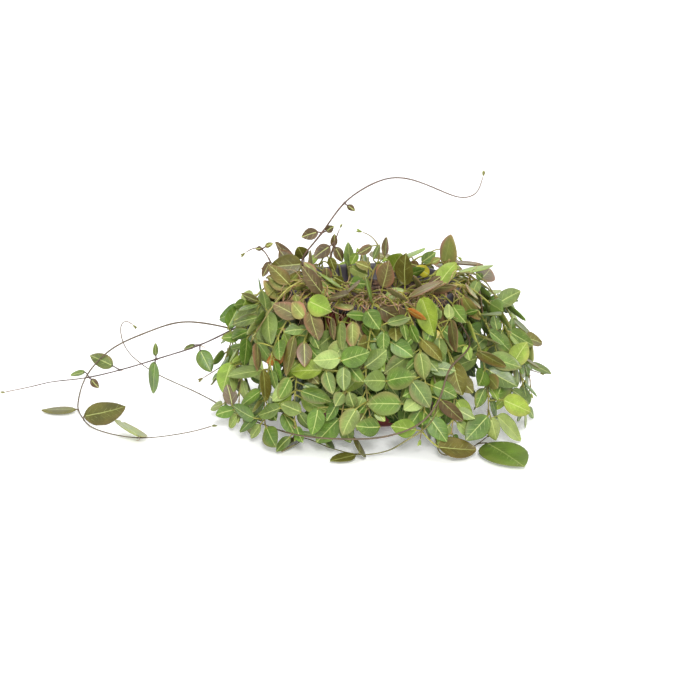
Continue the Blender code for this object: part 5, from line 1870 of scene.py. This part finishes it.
def dress_medium(stem_feet):
    """The medium: a lumpy bed with bark chips on top, kept off the stems."""
    draw = random.Random(21)
    piece = Piece()
    edge = wall_radius(MEDIUM_TOP) - WALL - 3 * MEDIUM_GAP
    floor_edge = wall_radius(MEDIUM_FLOOR) - WALL - 3 * MEDIUM_GAP
    profile = [(0, MEDIUM_FLOOR), (floor_edge, MEDIUM_FLOOR), (edge, MEDIUM_TOP - 2 * MM)]
    for step in range(1, 13):
        profile.append((edge * (1 - step / 13), MEDIUM_TOP - 2 * MM))
    profile.append((0, MEDIUM_TOP - 2 * MM))
    points, faces = turned(profile, BED_SIDES)
    for point in points[1 + 2 * BED_SIDES:]:
        point.z += draw.uniform(-1.2, 1.0) * MM
    place = [(0, 0, 0)] * len(points)
    piece.add([tuple(p) for p in points], place, linear((52, 38, 30)), faces, 0)
    feet = np.array([tuple(foot)[:2] for foot in stem_feet])
    form = round_form()
    made = 0
    while made < CHIPS:
        reach = (edge - 4 * MM) * math.sqrt(draw.random())
        turn = draw.uniform(0, 2 * math.pi)
        spot = np.array([reach * math.cos(turn), reach * math.sin(turn)])
        size = draw.uniform(2.0, 4.6) * MM
        if np.linalg.norm(feet - spot, axis=1).min() < 0.7 * size + 1.6 * MM:
            size = 1.6 * MM
            if np.linalg.norm(feet - spot, axis=1).min() < 2.8 * MM:
                made += 0.2
                continue
        points, faces = lump(form, draw, size)
        points[:, :2] += spot
        points[:, 2] += MEDIUM_TOP - draw.uniform(0.2, 2.4) * MM
        colour = np.array(linear(BARK_COLOUR)) * draw.uniform(0.45, 1.7)
        piece.add(points, [(0, 0, 0)] * len(points), colour, faces, 0)
        made += 1
    obj = piece.finish("medium_bed", [bark_material()], "planting_medium", "potting_medium")
    obj.data.set_sharp_from_angle(angle=math.radians(35))


def fill_route(turn, off_wall, draw):
    """A vine close to the pot: up from the medium, over the rim and down its wall."""
    out = Vector((math.cos(turn), math.sin(turn), 0))
    side = Vector((-out.y, out.x, 0))
    sway = draw.uniform(-5, 5) * MM
    steps = [
        (66, MEDIUM_TOP / MM - 1),
        (69.5, 112),
        (72.8, 116.6),
        (76.4, 115.8),
        (77.6, 110),
    ]
    route = [out * reach * MM + Vector((0, 0, height * MM)) for reach, height in steps]
    height = 98 * MM
    low = draw.uniform(8, 24) * MM
    while height > low:
        out_by = off_wall * min(1.0, 0.4 + (98 * MM - height) / (40 * MM))
        reach = wall_radius(height) + out_by + draw.uniform(0, 2) * MM
        swing = sway * math.sin((POT_HEIGHT - height) / (22 * MM))
        route.append(out * reach + side * swing + Vector((0, 0, height)))
        height -= 16 * MM
    return route


def fill_vines(plans, obstacles, draw):
    """Extra vines against the pot's wall, where no other stem crosses their way."""
    taken = KDTree(sum(len(plan[1]) for plan in plans))
    index = 0
    for plan in plans:
        for point in plan[1]:
            taken.insert(point, index)
            index += 1
    taken.balance()
    made = []
    for row, count, off_wall in FILL_ROWS:
        for number in range(count):
            best = None
            for trial in range(14):
                turn = 2 * math.pi * (number + 0.5 + draw.uniform(-0.5, 0.5)) / count
                route = smooth([Vector(point) for point in fill_route(turn, off_wall, draw)])
                gap = min(taken.find(point)[2] for point in route[1:])
                if best is None or gap > best[0]:
                    best = (gap, route)
                if gap > FILL_GAP:
                    break
            if best[0] < 2.4 * MM:
                continue
            route = best[1]
            run = lengths_along(route)
            name = f"fill_{row}_{number + 1:02d}"
            marks = [run[-1] * step / 24 for step in range(25)]
            rings = stem_rings(route, run, marks)
            obstacles.add(*tube(rings), name)
            made.append((name, route, run, marks, rings, {}))
    return made


def strays(leaf_):
    """True where an added leaf reaches too far out or hides the bare stretch of the pot."""
    tip = leaf_.base + leaf_.along * leaf_.length
    if not EXTRA_LEFT < tip.x < EXTRA_RIGHT or tip.y > EXTRA_BACK:
        return True
    middle = 0.5 * (leaf_.base + tip)
    wide = BARE_LEFT < middle.x < BARE_RIGHT
    return wide and middle.y < -60 * MM and BARE_LOW < middle.z < BARE_HIGH


def more_leaves(plan, obstacles, draw, first, sizes, tones=None):
    """Adds leaves made by rule between the ones that a vine has, all standing clear."""
    name, route, run, marks, rings, leaves = plan
    distance = first
    while distance < run[-1] - 2 * MM:
        here = point_at(route, run, distance)
        near = min((abs(distance - key) for key in leaves), default=1)
        if near < 3.5 * MM or here.z > MORE_BELOW:
            distance += 2 * MM
            continue
        ahead = point_at(route, run, distance + 3 * MM) - point_at(route, run, distance - 3 * MM)
        ahead.normalize()
        out = Vector((here.x, here.y, 0)).normalized()
        across = ahead.cross(out).normalized()
        label = f"{name}/more/{distance:.4f}"
        for sign in (1, -1):
            size = draw.uniform(*sizes) * MM
            for trial in range(MORE_TRIALS):
                spin = Matrix.Rotation(draw.uniform(-0.6, 0.6) * (1 + trial / 3), 3, ahead)
                length = size * (1 - 0.07 * trial)
                choice = free_leaf(here, ahead, spin @ (across * sign), length, draw)
                if tones:
                    choice = choice._replace(tone=draw.choice(tones))
                if not strays(choice) and fits(obstacles, choice, name, label):
                    keep(obstacles, choice, label)
                    leaves.setdefault(distance, []).append(choice)
                    break
        distance += draw.uniform(*MORE_SPACING)


def tip_leaves(piece, route, run, tint, draw, tone):
    """The small closed pair of leaves at a growing tip."""
    tip = point_at(route, run, run[-1])
    ahead = (tip - point_at(route, run, run[-1] - 4 * MM)).normalized()
    side = ahead.orthogonal().normalized()
    for sign in (1, -1):
        along = (ahead * 0.9 + side * sign * 0.35).normalized()
        normal = (side * sign - along * along.dot(side * sign)).normalized()
        length = draw.uniform(3.5, 6) * MM
        leaf_ = Leaf(tip, tip, along, normal, length, 0.4 * length, tone, 0.05)
        lowest = tip.z + along.z * length
        if lowest > 0.8 * MM:
            add_blade(piece, leaf_, draw)


def build_plant(plan, materials, slot, draw, node_name=None):
    """One vine as one piece: stem, twigs, blades and rootlets."""
    name, route, run, marks, rings, leaves = plan
    piece = Piece()
    tint = np.array(linear(STEM_COLOURS.get(name, STEM_GREEN))) * draw.uniform(0.85, 1.15)
    tip_tint = np.array(linear((140, 118, 72) if name not in STEM_COLOURS else (110, 84, 60)))
    knots = sorted(leaves)
    add_stem(piece, route, run, knots, tint, tip_tint, draw)
    chance = 0.6 if name.startswith("runner") else 0.3
    add_rootlets(piece, route, run, knots, draw, chance)
    for held in leaves.values():
        for leaf_ in held:
            add_twig(piece, leaf_, tint, draw)
            add_blade(piece, leaf_, draw)
    tip_leaves(piece, route, run, tint, draw, "olive" if name in STEM_COLOURS else "lime")
    piece.finish(name + "_dressed" if node_name else name, materials, slot, node_name)


def over_pot(reach, turn, height):
    """A point round the pot's axis, lifted clear of the rim."""
    if RIM_RADIUS - 9 * MM < reach < RIM_RADIUS + 2.5 * MM:
        height = max(height, POT_HEIGHT + 1.8 * MM)
    height = max(height, MEDIUM_TOP + 1.5 * MM) if reach < RIM_RADIUS else height
    return Vector((reach * math.cos(turn), reach * math.sin(turn), height))


def rim_tangle(piece, draw):
    """Thin young stems that cross each other over the front of the rim."""
    paths = []
    for _ in range(RIM_STEMS):
        turn = math.radians(draw.uniform(195, 345))
        swing = math.radians(draw.choice((-1, 1)) * draw.uniform(4, 42))
        start = draw.uniform(34, 62) * MM
        stop = draw.uniform(84, 98) * MM
        top = POT_HEIGHT + draw.uniform(2, 15) * MM
        low = POT_HEIGHT + draw.uniform(-16, 2) * MM
        corners = []
        for share in (0.0, 0.22, 0.45, 0.7, 1.0):
            reach = start + (stop - start) * share
            height = MEDIUM_TOP + (top - MEDIUM_TOP) * math.sin(math.pi * min(1, share * 1.3) / 2)
            if share > 0.7:
                height = low
            bend = swing * (share + 0.12 * math.sin(5 * share + top / MM))
            corners.append(over_pot(reach, turn + bend, height))
        path = [over_pot(p.xy.length, math.atan2(p.y, p.x), p.z) for p in smooth(corners, 3 * MM)]
        path = np.array([tuple(p) for p in path])
        path[1:-1] = 0.5 * path[1:-1] + 0.25 * (path[:-2] + path[2:])
        radii = np.linspace(0.72, 0.45, len(path)) * MM
        radii *= 1 + 0.5 * (np.arange(len(path)) % 6 == 3)
        colour = linear(draw.choice(((150, 146, 60), (160, 150, 62), (128, 124, 58), (138, 112, 72))))
        add_tube(piece, path, radii, np.array(colour) * draw.uniform(0.85, 1.15), 1, draw.random(), 6)
        paths.append(path)
    return paths


def rim_roots(piece, paths, draw):
    """Pale curly roots that hang from the stems over the front of the rim."""
    for _ in range(AERIAL_ROOTS):
        path = draw.choice(paths)
        at = Vector(path[draw.randint(2, len(path) - 2)])
        out = Vector((at.x, at.y, 0)).normalized()
        side = Vector((-out.y, out.x, 0))
        heading = out * draw.uniform(-0.2, 0.6) + side * draw.uniform(-1.4, 1.4)
        heading.z = draw.uniform(-0.8, 0.3)
        sink = draw.choice((0.04, 0.1, 0.25))
        points = []
        count = draw.randint(8, 20)
        for _ in range(count):
            points.append(tuple(at))
            heading += Vector([draw.uniform(-0.55, 0.55) for _ in range(3)])
            heading.z -= sink
            heading.normalize()
            at = at + heading * 2.1 * MM
            reach, height = at.xy.length, at.z
            if height < POT_HEIGHT + 1.2 * MM and RIM_RADIUS - 3 * MM < reach < RIM_RADIUS + 1.6 * MM:
                at.xy = at.xy * (RIM_RADIUS + 1.6 * MM) / reach
            if reach <= RIM_RADIUS - 3 * MM:
                at.z = max(height, MEDIUM_TOP + 1 * MM)
        radii = np.linspace(0.4, 0.14, count) * MM
        colour = np.array(linear(ROOT_COLOUR)) * draw.uniform(0.7, 1.1)
        add_tube(piece, points, radii, colour, 2, draw.random(), 5)


def light(name, place, size, power):
    """A round soft light that faces the plant."""
    lamp = bpy.data.lights.new(name, "AREA")
    lamp.shape = "DISK"
    lamp.size = size
    lamp.energy = power
    obj = bpy.data.objects.new(name, lamp)
    obj.location = place
    toward = Vector(LIGHT_AIM) - Vector(place)
    obj.rotation_euler = toward.to_track_quat("-Z", "Y").to_euler()
    bpy.context.scene.collection.objects.link(obj)


def build_studio():
    """White sweep, soft light from the camera's side and bright surroundings."""
    profile = [(-3.0, 0.0), (1.1, 0.0)]
    for step in range(1, 13):
        turn = math.pi / 2 * step / 12
        profile.append((1.1 + 0.9 * math.sin(turn), 0.9 * (1 - math.cos(turn))))
    profile.append((2.0, 4.0))
    points, faces = [], []
    for depth, height in profile:
        points += [(-4, depth, height - 0.2 * MM), (4, depth, height - 0.2 * MM)]
    for index in range(len(profile) - 1):
        low = 2 * index
        faces.append((low, low + 1, low + 3, low + 2))
    mesh = bpy.data.meshes.new("sweep")
    mesh.from_pydata(points, [], faces)
    mesh.polygons.foreach_set("use_smooth", [True] * len(faces))
    shade = Shade("paper", 0.9, 0.1)
    shade.shader.inputs["Base Color"].default_value = (0.93, 0.93, 0.93, 1)
    shade.shader.inputs["Emission Color"].default_value = (1, 1, 1, 1)
    shade.shader.inputs["Emission Strength"].default_value = SWEEP_GLOW
    mesh.materials.append(shade.made)
    sweep = bpy.data.objects.new("sweep", mesh)
    bpy.context.scene.collection.objects.link(sweep)
    for name, place, size, power in LIGHTS:
        light(name, place, size, power)
    world = bpy.data.worlds.new("surroundings")
    world.use_nodes = True
    back = world.node_tree.nodes["Background"]
    back.inputs[0].default_value = (1, 1, 1, 1)
    back.inputs[1].default_value = WORLD_POWER
    bpy.context.scene.world = world
    bpy.context.scene.view_settings.view_transform = "Standard"


def build_camera():
    """The photograph's view, as the scene's camera."""
    lens = bpy.data.cameras.new("view")
    lens.sensor_width = SENSOR_WIDTH
    lens.lens = SENSOR_WIDTH * VIEW_DISTANCE / PIXEL / (2 * HALF_FRAME)
    camera = bpy.data.objects.new("view", lens)
    camera.location = EYE
    camera.rotation_euler = (math.pi / 2 - VIEW_RISE, 0, 0)
    bpy.context.scene.collection.objects.link(camera)
    bpy.context.scene.camera = camera


def main():
    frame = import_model()
    slots = {part["node"]: part["material_slot"] for part in frame["record"]["subparts"]}
    build_camera()
    build_studio()
    obstacles = Obstacles()
    plans = laid_out(obstacles)
    draw = random.Random(31)
    hanging = [plan for plan in plans if plan[0].startswith("vine_")]
    for plan in hanging:
        more_leaves(plan, obstacles, draw, MORE_FIRST, (18, 31))
    fillers = fill_vines(plans, obstacles, draw)
    for plan in fillers:
        # Half of these inner leaves take the dark tone, which paints shade into them.
        more_leaves(plan, obstacles, draw, 30 * MM, (17, 31), ("green", "green", "dark", "dark"))
    materials = [leaf_material(), stem_material(), root_material()]
    for plan in plans:
        build_plant(plan, materials, slots[plan[0]], draw, plan[0])
    for plan in fillers:
        build_plant(plan, materials, "foliage_green", draw)
    tangle, roots = Piece(), Piece()
    paths = rim_tangle(tangle, draw)
    rim_roots(roots, paths, draw)
    tangle.finish("rim_stems", materials, "foliage_green")
    roots.finish("aerial_roots", materials, "runner_foliage")
    dress_pot()
    feet = [plan[1][0] for plan in plans] + [plan[1][0] for plan in fillers]
    dress_medium(feet)


main()
